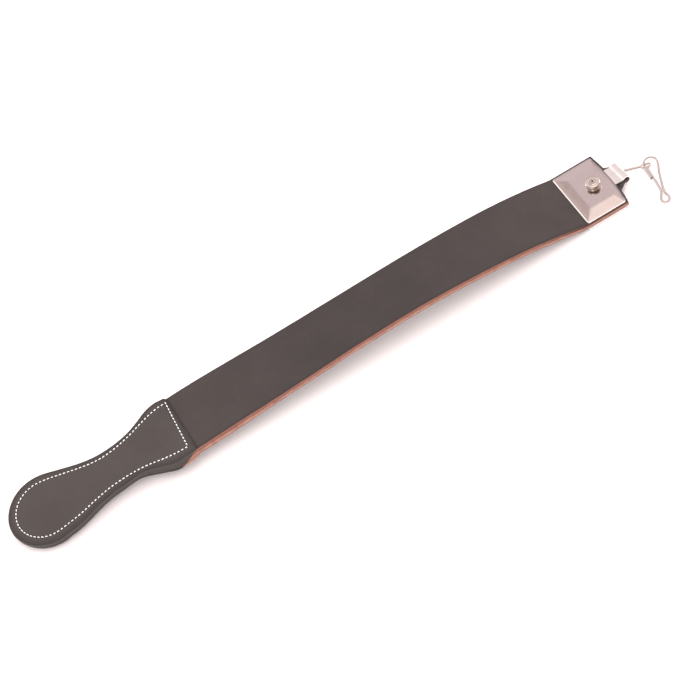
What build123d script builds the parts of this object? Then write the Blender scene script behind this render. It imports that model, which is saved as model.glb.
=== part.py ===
from build123d import *
import math
import os

# Hanging barber's strop: two leather straps held in a plate clamp at the
# hook end and sewn between two leather covers at the handle end.
# Frame: origin under the clamp screw on the table plane, +X from the handle
# to the hook, +Y across the strap, +Z up. Front pieces lie above back ones
# (side +1 is front, -1 is back). Millimetres.

os.makedirs("parts", exist_ok=True)

# ------------------------------------------------------- driving dimensions
STRAP_W = 50.8          # strap width (2 in)
STRAP_T = 2.8           # thickness of each strap
LAYER_GAP = 0.2         # air between the two straps
SPAN = 314.5            # strap length showing between handle and clamp
FLEX_GAP = 2.4          # slot between neighbouring strap sections
HINGES = [0.0572, 0.5, 0.946]       # slot centres, as shares of the span

PLATE_L = 31.6          # plate length along the strap
PLATE_W = 49.0          # plate width across the strap
PLATE_SAG = 2.0         # bow of the plate's hook-side edge
SCREW_SETBACK = 20.1    # clamp screw to the plate's strap-side edge
FRONT_RISE = 2.6        # height of the front plate's raised field
BACK_RISE = 2.2         # height of the back plate's raised field
CLAMP_SHIFT = 1.1       # the straps sit this far towards +Y in the clamp
STUD_R = 2.0

HANDLE_TILT = 4.9       # the handle slopes down to its round end, degrees
COVER_T = 2.6

BAIL_YAW = 4.0          # the bail and tab sit a little askew on the stud
BAIL_W = 16.0
BAIL_T = 0.8
TAB_T = 1.6

THROUGH = 40            # length of cutters that go right through

# ----------------------------------------------------------- derived levels
Z_RIM_BACK = BACK_RISE
Z_MID = BACK_RISE + STRAP_T + LAYER_GAP / 2           # mid-plane in the clamp
Z_RIM_FRONT = Z_MID + LAYER_GAP / 2 + STRAP_T
Z_FIELD = Z_RIM_FRONT + FRONT_RISE
X_PLATE = -SCREW_SETBACK                              # strap-side plate edge
X_PLATE_END = X_PLATE + PLATE_L + PLATE_SAG           # crown of the bowed edge
X_ROOT = X_PLATE - SPAN                               # handle root
HALF_STACK = LAYER_GAP / 2 + STRAP_T                  # mid-plane to a strap's outer face


# ------------------------------------------------------------------ helpers
ON_BASE = (Align.CENTER, Align.CENTER, Align.MIN)


def save(shape, name):
    shape.label = name
    export_step(shape, f"parts/{name}.step")


def ease(start, end, value):
    """smooth step from 0 at start to 1 at end"""
    t = min(1.0, max(0.0, (value - start) / (end - start)))
    return t * t * (3 - 2 * t)


def smooth_value(table, place):
    """smooth curve through a table of (place, value), level at both ends"""
    last = len(table) - 1
    if place <= table[0][0]:
        return table[0][1]
    if place >= table[-1][0]:
        return table[-1][1]
    slopes = []
    for j in range(last + 1):
        before, after = table[max(0, j - 1)], table[min(last, j + 1)]
        slopes.append((after[1] - before[1]) / (after[0] - before[0]))
    slopes[0] = slopes[-1] = 0.0
    k = 0
    while k < last - 1 and table[k + 1][0] < place:
        k += 1
    step = table[k + 1][0] - table[k][0]
    t = (place - table[k][0]) / step
    return (table[k][1] * (1 + 2 * t) * (1 - t) ** 2
            + slopes[k] * step * t * (1 - t) ** 2
            + table[k + 1][1] * t * t * (3 - 2 * t)
            + slopes[k + 1] * step * t * t * (t - 1))


def chamfer_top_rim(shape, size=0.3):
    circles = shape.edges().filter_by(GeomType.CIRCLE)
    return chamfer(circles.group_by(Axis.Z)[-1].sort_by(SortBy.RADIUS)[-1:], size)


# ---------------------------------------------------------- strap mid-plane
# (share of the span from the root, height above the clamp's mid-plane)
ARCH = [
    (0.0, 9.25), (0.05, 10.25), (0.11, 10.95), (0.25, 11.9), (0.4, 13.9),
    (0.5, 14.95), (0.6, 15.3), (0.7, 14.35), (0.8, 11.75), (0.88, 7.95),
    (0.94, 4.1), (0.972, 1.75), (0.989, 0.45), (1.0, 0.0),
]
SLOPE_ROOT = math.tan(math.radians(HANDLE_TILT))
TWIST = -7.3            # roll of the strap about its length at mid span, degrees
DRIFT_START, DRIFT_END = X_PLATE - 95, X_PLATE - 15   # where it moves off centre

ARCH_X = [X_ROOT + SPAN * share for share, _ in ARCH]
ARCH_Z = [Z_MID + height for _, height in ARCH]
ARCH_STEP = [ARCH_X[i + 1] - ARCH_X[i] for i in range(len(ARCH) - 1)]


def spline_bends(z, step, slope_start, slope_end):
    """second derivatives of the cubic spline with given end slopes"""
    rises = [slope_start] + [(z[i + 1] - z[i]) / step[i] for i in range(len(step))] + [slope_end]
    count = len(z)
    # tridiagonal system: rows of below, diagonal, above = right
    below = [0.0] + step
    above = step + [0.0]
    diagonal = [2 * (below[i] + above[i]) for i in range(count)]
    right = [6 * (rises[i + 1] - rises[i]) for i in range(count)]
    for i in range(1, count):
        factor = below[i] / diagonal[i - 1]
        diagonal[i] -= factor * above[i - 1]
        right[i] -= factor * right[i - 1]
    bends = [0.0] * count
    bends[-1] = right[-1] / diagonal[-1]
    for i in range(count - 2, -1, -1):
        bends[i] = (right[i] - above[i] * bends[i + 1]) / diagonal[i]
    return bends


ARCH_BEND = spline_bends(ARCH_Z, ARCH_STEP, SLOPE_ROOT, 0.0)


def mid_plane(x):
    """height and slope of the strap mid-plane at x"""
    if x <= ARCH_X[0]:
        return ARCH_Z[0] + SLOPE_ROOT * (x - ARCH_X[0]), SLOPE_ROOT
    if x >= ARCH_X[-1]:
        return Z_MID, 0.0
    i = max(k for k in range(len(ARCH_X) - 1) if ARCH_X[k] <= x)
    step = ARCH_STEP[i]
    done = x - ARCH_X[i]
    left = step - done
    bend0, bend1 = ARCH_BEND[i], ARCH_BEND[i + 1]
    pull0 = ARCH_Z[i] / step - bend0 * step / 6
    pull1 = ARCH_Z[i + 1] / step - bend1 * step / 6
    height = (bend0 * left ** 3 + bend1 * done ** 3) / (6 * step) + pull0 * left + pull1 * done
    slope = (bend1 * done ** 2 - bend0 * left ** 2) / (2 * step) - pull0 + pull1
    return height, slope


def section_plane(x):
    """section plane of the strap: origin on the mid-plane, local x across,
    local y along the strap's normal, local z along the strap"""
    height, slope = mid_plane(x)
    share = min(1.0, max(0.0, (x - X_ROOT) / SPAN))
    roll = math.radians(TWIST * 16 * share ** 2 * (1 - share) ** 2)
    norm = math.hypot(1, slope)
    forward = Vector(1 / norm, 0, slope / norm)
    up = Vector(-slope / norm, 0, 1 / norm)
    across = Vector(0, 1, 0) * math.cos(roll) + up * math.sin(roll)
    drift = CLAMP_SHIFT * ease(DRIFT_START, DRIFT_END, x)
    return Plane(origin=(x, drift, height), x_dir=across, z_dir=forward)


def strap_section(x0, x1, side, count):
    """one strap lofted through evenly spaced stations"""
    lift = side * (LAYER_GAP / 2 + STRAP_T / 2)
    faces = []
    for i in range(count):
        x = x0 + (x1 - x0) * i / (count - 1)
        faces.append(section_plane(x) * Pos(0, lift, 0) * Rectangle(STRAP_W, STRAP_T))
    return loft(faces)


# ----------------------------------------------------------- handle outline
# The handle is drawn in its own plane: root on x = 0, round end at -x.
END_X = 109.2           # centre of the round end, from the root
END_R = 28.6            # outline radius of the round end
END_ANGLE = 80          # the end's arc starts this far from local +X, degrees
# (distance from root, half-width of the outline)
HANDLE_STATIONS = [
    (0.0, 26.3), (5.5, 26.7), (11.0, 26.8), (16.0, 25.9), (20.0, 24.5), (24.0, 22.6),
    (28.0, 20.9), (33.0, 19.15), (39.0, 17.8), (45.0, 17.05), (50.0, 16.85), (56.0, 16.95),
    (62.0, 17.35), (68.0, 18.25), (74.0, 19.6), (80.0, 21.3), (85.0, 22.95), (90.0, 24.6),
    (96.0, 26.5),
]
# (distance from root, sideways wander of the hand-cut centre line)
CENTRE = [
    (0.0, -0.35), (12.0, -0.4), (28.0, -0.75), (45.0, -1.15), (56.0, -1.45), (68.0, -1.05),
    (80.0, -0.35), (90.0, 0.25), (97.0, 0.95), (104.0, 1.5), (112.0, 1.6),
]
# (distance from root, extra width of the -Y side)
SWELL = [
    (0.0, 0.0), (10.0, 0.3), (16.0, 0.9), (20.0, 1.35), (24.0, 1.35), (28.0, 1.0),
    (33.0, 0.35), (38.0, 0.0),
]
END_Y = CENTRE[-1][1]
END_COS, END_SIN = math.cos(math.radians(END_ANGLE)), math.sin(math.radians(END_ANGLE))
INSET_FROM, INSET_TO = 20, 47       # the inset changes from its root value here
STATION_CLEAR = 4       # stations stop this far short of the end's arc

HANDLE = Pos(X_ROOT, 0, mid_plane(X_ROOT)[0]) * Rot(0, -HANDLE_TILT, 0)


def handle_outline(inset, inset_root=None):
    """keyhole outline, drawn in from the handle's edge by the inset"""
    if inset_root is None:
        inset_root = inset
    far, near = [], []      # the +Y and -Y sides
    radius = END_R - inset
    arc_x, arc_y = -END_X + radius * END_COS, radius * END_SIN
    for d, half_width in HANDLE_STATIONS:
        if -d > arc_x + STATION_CLEAR:
            cut = inset_root + (inset - inset_root) * ease(INSET_FROM, INSET_TO, d)
            centre = smooth_value(CENTRE, d)
            far.append((-d, centre + half_width - cut))
            near.append((-d, centre - half_width - smooth_value(SWELL, d) + cut))
    far.append((arc_x, END_Y + arc_y))
    near.append((arc_x, END_Y - arc_y))
    top = Spline(*far, tangents=[(-1, 0.1, 0), (-END_SIN, END_COS, 0)])
    low = Spline(*near, tangents=[(-1, -0.1, 0), (-END_SIN, -END_COS, 0)])
    end = ThreePointArc(far[-1], (-END_X - radius, END_Y), near[-1])
    root = Line(far[0], near[0])
    return make_face([top, end, low, root])


# ------------------------------------------------- step of the handle's back
STEP_FROM, STEP_TO = 30.0, 47.0     # the back cover steps in between these
STEP_EXTRA = 0.08       # the step is this much deeper than HALF_STACK
STEP_POINTS = 10        # intervals along the step's curve
SLAB_START = 4.0        # the slab reaches this far past the root
SLAB_HALF_W = 40
BACK_DEPTH = 10         # back blanks start this far below the mid-plane


def back_face(d):
    """height of the back cover's outer face: it steps in where the back strap ends"""
    return -(HALF_STACK + COVER_T) + (HALF_STACK + STEP_EXTRA) * ease(STEP_FROM, STEP_TO, d)


def stepped_slab(lift0, lift1, reach):
    """slab between two heights above the back cover's outer face, from
    just past the root to the distance reach along the handle"""
    step = (STEP_TO - STEP_FROM) / STEP_POINTS
    curve = [STEP_FROM + step * i for i in range(STEP_POINTS + 1)]
    curve = [d for d in curve if d < reach - 0.5]
    runs_on = reach > STEP_TO       # a straight stretch follows the step
    if not runs_on:
        curve.append(reach)

    def step_curve(points):
        fall = (points[-1][0] - points[-2][0], points[-1][1] - points[-2][1], 0)
        return Spline(*points, tangents=[(-1, 0, 0), fall])

    low, high = ([(-d, back_face(d) + lift) for d in curve] for lift in (lift0, lift1))
    low_start, high_start = ((SLAB_START, back_face(0) + lift) for lift in (lift0, lift1))
    low_end, high_end = ((-reach, back_face(reach) + lift) for lift in (lift0, lift1))
    edges = [Line(low_start, low[0]), step_curve(low)]
    if runs_on:
        edges.append(Line(low[-1], low_end))
    edges.append(Line(low_end, high_end))
    if runs_on:
        edges.append(Line(high_end, high[-1]))
    edges += [step_curve(high), Line(high[0], high_start), Line(high_start, low_start)]
    return extrude(Plane.XZ * make_face(edges), SLAB_HALF_W, both=True)


# ------------------------------------------------------------------- covers
COVER_CORNER_R = 2.2    # corners at the root
COVER_CHAMFER = 0.5
BACK_COVER_INSET = 1.0  # the back cover is smaller, except at the root
COVER_REACH = 150       # past the round end


def round_root_corners(face):
    return fillet(face.vertices().group_by(Axis.X)[-1], COVER_CORNER_R)


def front_cover():
    face = round_root_corners(handle_outline(0.0))
    body = Pos(0, 0, HALF_STACK) * extrude(face, COVER_T)
    return HANDLE * chamfer(body.faces().sort_by(Axis.Z)[-1].edges(), COVER_CHAMFER)


def back_cover():
    face = round_root_corners(handle_outline(BACK_COVER_INSET, 0.0))
    blank = Pos(0, 0, -BACK_DEPTH) * extrude(face, 12)
    return HANDLE * (blank & stepped_slab(0, COVER_T, COVER_REACH))


# ------------------------------------------------------------------- thread
SEW_R = 22.4            # radius of the sewing round the end
SEW_START = 3.0         # sewing starts this far from the root
SEW_STEP = 0.5          # spacing of the points that trace the sewing line
SEW_ARC_STEPS = 40
STITCH_LEN, STITCH_W, STITCH_T = 2.15, 0.75, 0.3
STITCH_PITCH = 3.0
BACK_STITCH_SINK = 0.05     # back stitches are set this much lower
ROW_SHIFT, ROW_INSET = 0.4, 0.8     # root row, from the ends of the keyhole run
# (distance from root, half-width of the sewing line)
SEW_STATIONS = [
    (0.0, 21.3), (6.0, 21.15), (11.0, 20.8), (16.0, 20.0), (20.0, 19.1), (24.0, 18.1),
    (28.0, 16.95), (33.0, 15.5), (39.0, 14.2), (45.0, 13.3), (50.0, 12.8), (56.0, 12.6),
    (62.0, 12.85), (68.0, 13.65), (74.0, 14.9), (80.0, 16.4), (85.0, 17.8), (90.0, 19.1),
    (96.0, 20.45), (101.0, 21.4),
]


def keyhole_run():
    """points along the sewing line, from the root round the end and back"""
    table = SEW_STATIONS + [(END_X - SEW_R * END_COS, SEW_R * END_SIN)]
    far, near = [], []
    d = SEW_START
    while d < table[-1][0] - 1.5:
        centre, half_width = smooth_value(CENTRE, d), smooth_value(table, d)
        far.append((-d, centre + half_width))
        near.append((-d, centre - half_width))
        d += SEW_STEP
    arc = []
    for i in range(SEW_ARC_STEPS + 1):
        angle = math.radians(END_ANGLE + (360 - 2 * END_ANGLE) * i / SEW_ARC_STEPS)
        arc.append((-END_X + SEW_R * math.cos(angle), END_Y + SEW_R * math.sin(angle)))
    return far + arc + near[::-1]


def spaced_along(points, pitch):
    """(x, y, heading) of evenly spaced places along a polyline"""
    lengths = [math.dist(points[i], points[i + 1]) for i in range(len(points) - 1)]
    total = sum(lengths)
    count = max(1, round(total / pitch))
    places = []
    for k in range(count):
        rest = (k + 0.5) * total / count
        i = 0
        while i < len(lengths) - 1 and rest > lengths[i]:
            rest -= lengths[i]
            i += 1
        share = rest / lengths[i]
        (x0, y0), (x1, y1) = points[i], points[i + 1]
        heading = math.degrees(math.atan2(y1 - y0, x1 - x0))
        places.append((x0 + share * (x1 - x0), y0 + share * (y1 - y0), heading))
    return places


def stitch_places():
    """the keyhole run and the row across the root"""
    run = keyhole_run()
    row = [(run[0][0] - ROW_SHIFT, run[0][1] - ROW_INSET),
           (run[-1][0] - ROW_SHIFT, run[-1][1] + ROW_INSET)]
    return spaced_along(run, STITCH_PITCH) + spaced_along(row, STITCH_PITCH)


def thread(side):
    stitches = []
    for x, y, heading in stitch_places():
        stitch = extrude(SlotOverall(STITCH_LEN, STITCH_W), STITCH_T)
        if side > 0:
            seat = Pos(x, y, HALF_STACK + COVER_T)
        else:
            stitch = Pos(0, 0, -STITCH_T) * stitch
            # lean with the step of the back cover
            lean = math.degrees(math.atan(back_face(-x + 0.5) - back_face(-x - 0.5)))
            seat = Pos(x, y, back_face(-x) - BACK_STITCH_SINK) * Rot(0, lean, 0)
        stitches.append(HANDLE * seat * Rot(0, 0, heading) * stitch)
    return Compound(children=stitches)


# ------------------------------------------------- outlines at the clamp end
ASKEW = Rot(0, 0, BAIL_YAW)
# (x, half-width of the hanger tab)
TAB_STATIONS = [
    (-8.0, 8.5), (6.0, 11.6), (12.5, 12.3), (15.2, 12.0), (17.0, 11.0), (19.0, 9.7),
    (21.5, 8.7), (24.3, 8.8),
]


def bowed_pad(x0, x1, half_width, sag, corner_r=0):
    """straight strap side and long sides, bowed hook side"""
    face = make_face([
        Line((x0, -half_width), (x1 - sag, -half_width)),
        ThreePointArc((x1 - sag, -half_width), (x1, 0), (x1 - sag, half_width)),
        Line((x1 - sag, half_width), (x0, half_width)),
        Line((x0, half_width), (x0, -half_width)),
    ])
    return fillet(face.vertices(), corner_r) if corner_r else face


def tab_face(grow):
    """outline of the hanger tab, grown at the sides and the strap end"""
    upper = [(x, half_width + grow) for x, half_width in TAB_STATIONS]
    upper[0] = (upper[0][0] - grow, upper[0][1])
    lower = [(x, -y) for x, y in upper]
    return make_face([Spline(*upper), Spline(*lower),
                      Line(upper[0], lower[0]), Line(upper[-1], lower[-1])])


# ------------------------------------------------------------------- straps
HINGE_X = [X_ROOT + SPAN * share for share in HINGES]
HALF_SLOT = FLEX_GAP / 2
STRAP_INSET = 0.9       # strap edge inside the handle's outline
ROOT_OVERLAP = 0.4      # the lofted strap starts this far inside the handle
SKIVE_REACH = 44.0      # the back strap ends this far from the root
SKIVE_CLEAR = 0.03      # between the back strap and the back cover
STRAP_END = {1: 1.5, -1: 1.9}       # strap showing past the plate, by side
TAB_CLEAR, TAB_CLEAR_Z = 0.25, 0.02     # pocket round the hanger tab
RECESS_X, RECESS_L = 7.5, 28.0      # centre and length of the bail recess
# lower face of the bail recess, by side
RECESS_Z = {1: Z_RIM_FRONT - BAIL_T - 0.09, -1: Z_RIM_BACK - 1.0}
RECESS_H = BAIL_T + 1.09


def strap_handle_end(side):
    face = handle_outline(STRAP_INSET)
    if side > 0:
        inner = Pos(0, 0, LAYER_GAP / 2) * extrude(face, STRAP_T)
    else:
        # skived to nothing inside the handle
        blank = Pos(0, 0, -BACK_DEPTH) * extrude(face, BACK_DEPTH - LAYER_GAP / 2)
        inner = blank & stepped_slab(COVER_T + SKIVE_CLEAR, COVER_T + 8, SKIVE_REACH)
    return HANDLE * inner + strap_section(X_ROOT - ROOT_OVERLAP, HINGE_X[0] - HALF_SLOT, side, 7)


def strap_clamp_end(side):
    bottom = Z_MID + LAYER_GAP / 2 if side > 0 else Z_MID - HALF_STACK
    flat = Pos(0, CLAMP_SHIFT, bottom) * extrude(
        bowed_pad(X_PLATE, X_PLATE_END + STRAP_END[side], STRAP_W / 2, PLATE_SAG), STRAP_T)
    body = strap_section(HINGE_X[2] + HALF_SLOT, X_PLATE, side, 5) + flat
    # pocket for the hanger tab
    body -= ASKEW * Pos(0, 0, Z_MID - TAB_T / 2 - TAB_CLEAR_Z) * extrude(
        tab_face(TAB_CLEAR), TAB_T + 2 * TAB_CLEAR_Z)
    # recess for the bail flange
    body -= ASKEW * Pos(RECESS_X, 0, RECESS_Z[side]) * Box(
        RECESS_L, BAIL_W + 0.4, RECESS_H, align=ON_BASE)
    body -= Cylinder(STUD_R + 0.2, THROUGH)
    return body


# -------------------------------------------------------------------- clamp
SHEET = 0.8             # plate sheet thickness
BEVEL_STRAP = 8.0       # bevel width at the strap side
BEVEL_SIDE = 8.9        # bevel width at the long sides
BEVEL_HOOK = 4.6        # bevel width at the hook side
FOOT_INSET = 0.7        # foot of the bevel, from the plate's edge
HOLLOW_INSET = 1.6      # foot of the hollow, from the plate's edge
HOLLOW_FIELD_INSET = 0.4
HEAD_H = 0.75           # height of the stud's countersunk head
HEAD_FLARE = 2.0        # the head's foot is this much wider in radius
STUD_TOP = 15.8
STUD_DRILL_R, STUD_DRILL_DEPTH = 0.85, 1.6
BACK_HOLE_CLEAR = 0.05
STUD_CLEAR = 0.15       # radial clearance in the front plate, bail and tab
WASHER_R, WASHER_T = 4.8, 0.9
NUT_BORE = STUD_R + 0.05
# (radius, height above the nut's foot)
NUT_PROFILE = [
    (NUT_BORE, 0), (4.0, 0), (4.0, 0.5), (3.3, 0.75), (3.3, 1.5), (4.9, 1.75), (5.4, 2.2),
    (5.4, 2.9), (5.0, 3.45), (4.1, 3.8), (3.0, 3.85), (2.85, 4.2), (NUT_BORE + 0.2, 4.2),
    (NUT_BORE, 4.0),
]


def plate(rise):
    """sheet plate with a raised field, rim on z = 0"""

    def rim_pad(inset, corner_r):
        return bowed_pad(X_PLATE + inset, X_PLATE_END - inset, PLATE_W / 2 - inset,
                         PLATE_SAG, corner_r)

    def field_pad(inset, corner_r):
        return bowed_pad(X_PLATE + BEVEL_STRAP + inset, X_PLATE_END - BEVEL_HOOK - inset,
                         PLATE_W / 2 - BEVEL_SIDE - inset, PLATE_SAG * 0.5, corner_r)

    outer = extrude(rim_pad(0, 1.6), SHEET) + loft(
        [Pos(0, 0, SHEET) * rim_pad(FOOT_INSET, 1.2), Pos(0, 0, rise) * field_pad(0, 1.0)])
    hollow = loft([rim_pad(HOLLOW_INSET, 0.8),
                   Pos(0, 0, rise - SHEET) * field_pad(HOLLOW_FIELD_INSET, 0.7)])
    return outer - hollow


def stud_head(clear=0.0):
    return Cone(STUD_R + HEAD_FLARE + clear, STUD_R + clear, HEAD_H, align=ON_BASE)


def front_plate():
    return Pos(0, 0, Z_RIM_FRONT) * plate(FRONT_RISE) - Pos(0, 0, 10) * Cylinder(
        STUD_R + STUD_CLEAR, 10)


def back_plate():
    body = Pos(0, 0, Z_RIM_BACK) * Rot(180, 0, 0) * plate(BACK_RISE)
    body -= stud_head(BACK_HOLE_CLEAR)
    body -= Cylinder(STUD_R + BACK_HOLE_CLEAR, 4)
    return body


def stud():
    """countersunk at the back plate, end drilled and showing in the nut"""
    body = stud_head() + Pos(0, 0, HEAD_H) * Cylinder(STUD_R, STUD_TOP - HEAD_H, align=ON_BASE)
    body -= Pos(0, 0, STUD_TOP - STUD_DRILL_DEPTH) * Cylinder(STUD_DRILL_R, 2, align=ON_BASE)
    return chamfer_top_rim(body)


def washer():
    return chamfer_top_rim(Pos(0, 0, Z_FIELD) * (
        Cylinder(WASHER_R, WASHER_T, align=ON_BASE) - Cylinder(STUD_R + 0.2, 4)))


def nut():
    foot = Z_FIELD + WASHER_T
    outline = Polyline(*[(radius, foot + z) for radius, z in NUT_PROFILE], close=True)
    return revolve(Plane.XZ * make_face(outline), Axis.Z)


# ------------------------------------------------------------- bail and tab
BARREL_X = 22.1         # centre of the bail's rolled barrel
BARREL_R = 3.2          # barrel radius at mid sheet
BAIL_HOLE_R = 1.7
BAIL_Z = Z_RIM_FRONT - BAIL_T / 2 - 0.03        # mid sheet of the front flange
# (x, dip of the flange towards the mid-plane)
BAIL_FLANGE = [
    (-5.0, 0), (2.0, 0), (8.0, 0), (12.0, 0), (14.5, 0), (15.6, 0.03), (16.5, 0.16),
    (17.4, 0.45), (18.3, 0.7), (19.2, 0.55),
]
TAB_NOTCH_X, TAB_NOTCH_L, TAB_NOTCH_W = 22.5, 6.0, 8.4


def offset_line(points, distance):
    """points moved sideways, to the left of their run for a positive distance"""
    moved = []
    for i, (x, y) in enumerate(points):
        before, after = points[max(0, i - 1)], points[min(len(points) - 1, i + 1)]
        run_x, run_y = after[0] - before[0], after[1] - before[1]
        norm = math.hypot(run_x, run_y)
        moved.append((x - run_y / norm * distance, y + run_x / norm * distance))
    return moved


def bail():
    """sheet folded round the barrel, with a flange in front and behind"""
    upper = [(x, BAIL_Z - dip) for x, dip in BAIL_FLANGE]
    for degrees in range(124, -1, -8):
        angle = math.radians(degrees)
        upper.append((BARREL_X + BARREL_R * math.cos(angle), Z_MID + BARREL_R * math.sin(angle)))
    lower = [(x, 2 * Z_MID - z) for x, z in upper[:-1]]
    centre = upper + lower[::-1]
    outer = offset_line(centre, BAIL_T / 2)
    inner = offset_line(centre, -BAIL_T / 2)
    profile = make_face([Spline(*outer), Spline(*inner),
                         Line(outer[0], inner[0]), Line(outer[-1], inner[-1])])
    body = extrude(Plane.XZ * profile, BAIL_W / 2, both=True)
    body -= Pos(BARREL_X + BARREL_R, 0, Z_MID) * Rot(0, 90, 0) * Cylinder(BAIL_HOLE_R, 3)
    body -= Cylinder(STUD_R + STUD_CLEAR, THROUGH)
    return ASKEW * body


def hanger_tab():
    body = Pos(0, 0, Z_MID - TAB_T / 2) * extrude(tab_face(0.0), TAB_T)
    body -= Cylinder(STUD_R + STUD_CLEAR, THROUGH)
    body -= Pos(TAB_NOTCH_X, 0, Z_MID) * Box(TAB_NOTCH_L, TAB_NOTCH_W, 4)
    return ASKEW * body


# -------------------------------------------------------------- swivel link
# Drawn along local +X from the centre of the bail's hole.
LINK_YAW = -18.0
LINK_DROOP = 5.0
SHANK_R = 1.1
EYE_X = 16.3            # centre of the oval eye
EYE_LEN = 8.4           # outer length of the eye
EYE_H = 5.4             # outer height of the eye
EYE_WIRE = 1.6
BAIL_HOLE = ASKEW * Pos(BARREL_X + BARREL_R, 0, Z_MID)
LINK = Pos(*BAIL_HOLE.position) * Rot(0, 0, LINK_YAW) * Rot(0, LINK_DROOP, 0)


def x_rod(radius, x0, x1):
    return Pos(x0, 0, 0) * Rot(0, 90, 0) * Cylinder(radius, x1 - x0, align=ON_BASE)


def swivel_washer():
    return LINK * (x_rod(1.8, -2.25, -1.65) - x_rod(SHANK_R + 0.05, -3, 0))


def swivel_link():
    half_l, half_h = (EYE_LEN - EYE_WIRE) / 2, (EYE_H - EYE_WIRE) / 2
    straight = half_l - half_h
    oval = [
        Line((-straight, half_h), (straight, half_h)),
        ThreePointArc((straight, half_h), (half_l, 0), (straight, -half_h)),
        Line((straight, -half_h), (-straight, -half_h)),
        ThreePointArc((-straight, -half_h), (-half_l, 0), (-straight, half_h)),
    ]
    path = Wire([(Plane.XZ * edge).edge() for edge in oval])
    eye = sweep(Plane(origin=(0, 0, half_h), z_dir=(1, 0, 0)) * Circle(EYE_WIRE / 2), path=path)
    head = x_rod(2.0, -3.35, -2.3)
    shank = x_rod(SHANK_R, -2.4, EYE_X - half_l + 0.1)
    return LINK * (head + shank + Pos(EYE_X, 0, 0) * eye)


# ---------------------------------------------------------------- snap hook
# Drawn in its own plane: origin at the centre of the nose arc, local y
# from the spring bulb to the nose.
HOOK_WIRE = 1.7
NOSE_R = 4.8            # nose arc radius at wire centre
NOSE_CENTRE = (44.7, -3.2, 3.85)
TO_BULB = Vector(-0.2460, -0.9650, -0.0880).normalized()    # from nose to bulb
HOOK_ACROSS = Vector(-TO_BULB.Y, TO_BULB.X, 0).normalized()
HOOK_PLANE = Plane(origin=NOSE_CENTRE, x_dir=HOOK_ACROSS, z_dir=HOOK_ACROSS.cross(TO_BULB * -1))
BULB_Y, BULB_R = -32.7, 3.0
PIVOT = (-0.95, -26.6)  # where the wire's end meets the gate
PIVOT_GAP = 0.36        # the wire's centre line stops this short of the pivot
# wire centre line (x, y): catch to nose, nose to bulb, bulb to pivot
CATCH_LEG = [(-4.08, -6.1), (-4.45, -4.0), (-4.72, -1.6)]
LONG_LEG = [
    (4.72, -2.4), (4.2, -5.4), (3.5, -8.4), (2.75, -12.5), (2.05, -17.7), (1.5, -22.0),
    (1.28, -25.7), (1.5, -27.8), (2.35, -30.1), (2.93, -32.0),
]
PIVOT_LEG = [(-2.8, -31.4), (-2.15, -29.4), (-1.35, -27.7)]
# gate centre line (x, y), from the pivot to the catch
GATE_LINE = [
    (PIVOT[0] + 0.1, PIVOT[1] + 0.36), (-0.78, -25.2), (-0.85, -23.5), (-1.15, -21.0),
    (-1.95, -14.6), (-2.75, -11.4), (-3.3, -9.2), (-3.72, -7.3),
]
CATCH_TOP, CATCH_FOOT = (-4.5, -3.4), (-3.15, -12.6)    # ends of its centre line
CATCH_W, CATCH_H, CATCH_EDGE_R = 3.0, 2.9, 0.6


def polar(degrees, radius, y=0.0):
    angle = math.radians(degrees)
    return (radius * math.cos(angle), y + radius * math.sin(angle))


def bent_wire(points):
    path = HOOK_PLANE * Spline(*points)
    return sweep(Plane(origin=path @ 0, z_dir=path % 0) * Circle(HOOK_WIRE / 2), path=path)


def hook_wire():
    nose = [polar(degrees, NOSE_R) for degrees in range(180, -1, -15)]
    bulb = [polar(degrees, BULB_R, BULB_Y) for degrees in range(0, -176, -25)]
    last = PIVOT_LEG[-1]
    share = PIVOT_GAP / math.dist(last, PIVOT)
    end = (PIVOT[0] - (PIVOT[0] - last[0]) * share, PIVOT[1] - (PIVOT[1] - last[1]) * share)
    return bent_wire(CATCH_LEG + nose + LONG_LEG + bulb + PIVOT_LEG + [end])


def hook_catch(wire, gate):
    """folded sheet catch, crimped on the wire's end, open towards the inside"""
    heading = math.degrees(math.atan2(CATCH_FOOT[1] - CATCH_TOP[1], CATCH_FOOT[0] - CATCH_TOP[0]))
    length = math.dist(CATCH_TOP, CATCH_FOOT)
    body = Pos(length / 2, 0, 0) * Box(length, CATCH_W, CATCH_H)
    body = fillet(body.edges().filter_by(Axis.X), CATCH_EDGE_R)
    # channel for the gate, open at the foot and on the local +y side
    body -= Pos(length / 2 + 1.8, 0.95, 0) * Box(length - 3.4, 3.9, 1.98)
    seat = HOOK_PLANE.location * Pos(*CATCH_TOP, 0) * Rot(0, 0, heading)
    return seat * body - wire - gate


# --------------------------------------------------------- write the pieces
save(front_cover(), "handle_front_cover")
save(back_cover(), "handle_back_cover")

for tag, side in (("front", 1), ("back", -1)):
    save(thread(side), f"handle_{tag}_thread")
    save(strap_handle_end(side), f"{tag}_strap_handle_end")
    save(strap_section(HINGE_X[0] + HALF_SLOT, HINGE_X[1] - HALF_SLOT, side, 7),
         f"{tag}_strap_lower")
    save(strap_section(HINGE_X[1] + HALF_SLOT, HINGE_X[2] - HALF_SLOT, side, 9),
         f"{tag}_strap_upper")
    save(strap_clamp_end(side), f"{tag}_strap_clamp_end")

save(front_plate(), "clamp_front_plate")
save(back_plate(), "clamp_back_plate")
save(stud(), "clamp_stud")
save(washer(), "clamp_washer")
save(nut(), "clamp_nut")
save(bail(), "bail")
save(hanger_tab(), "hanger_tab")
save(swivel_washer(), "swivel_washer")
save(swivel_link(), "swivel_link")

snap_wire = hook_wire()
snap_gate = bent_wire(GATE_LINE)
save(snap_wire, "snap_hook_wire")
save(snap_gate, "snap_hook_gate")
save(hook_catch(snap_wire, snap_gate), "hook_catch")
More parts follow.
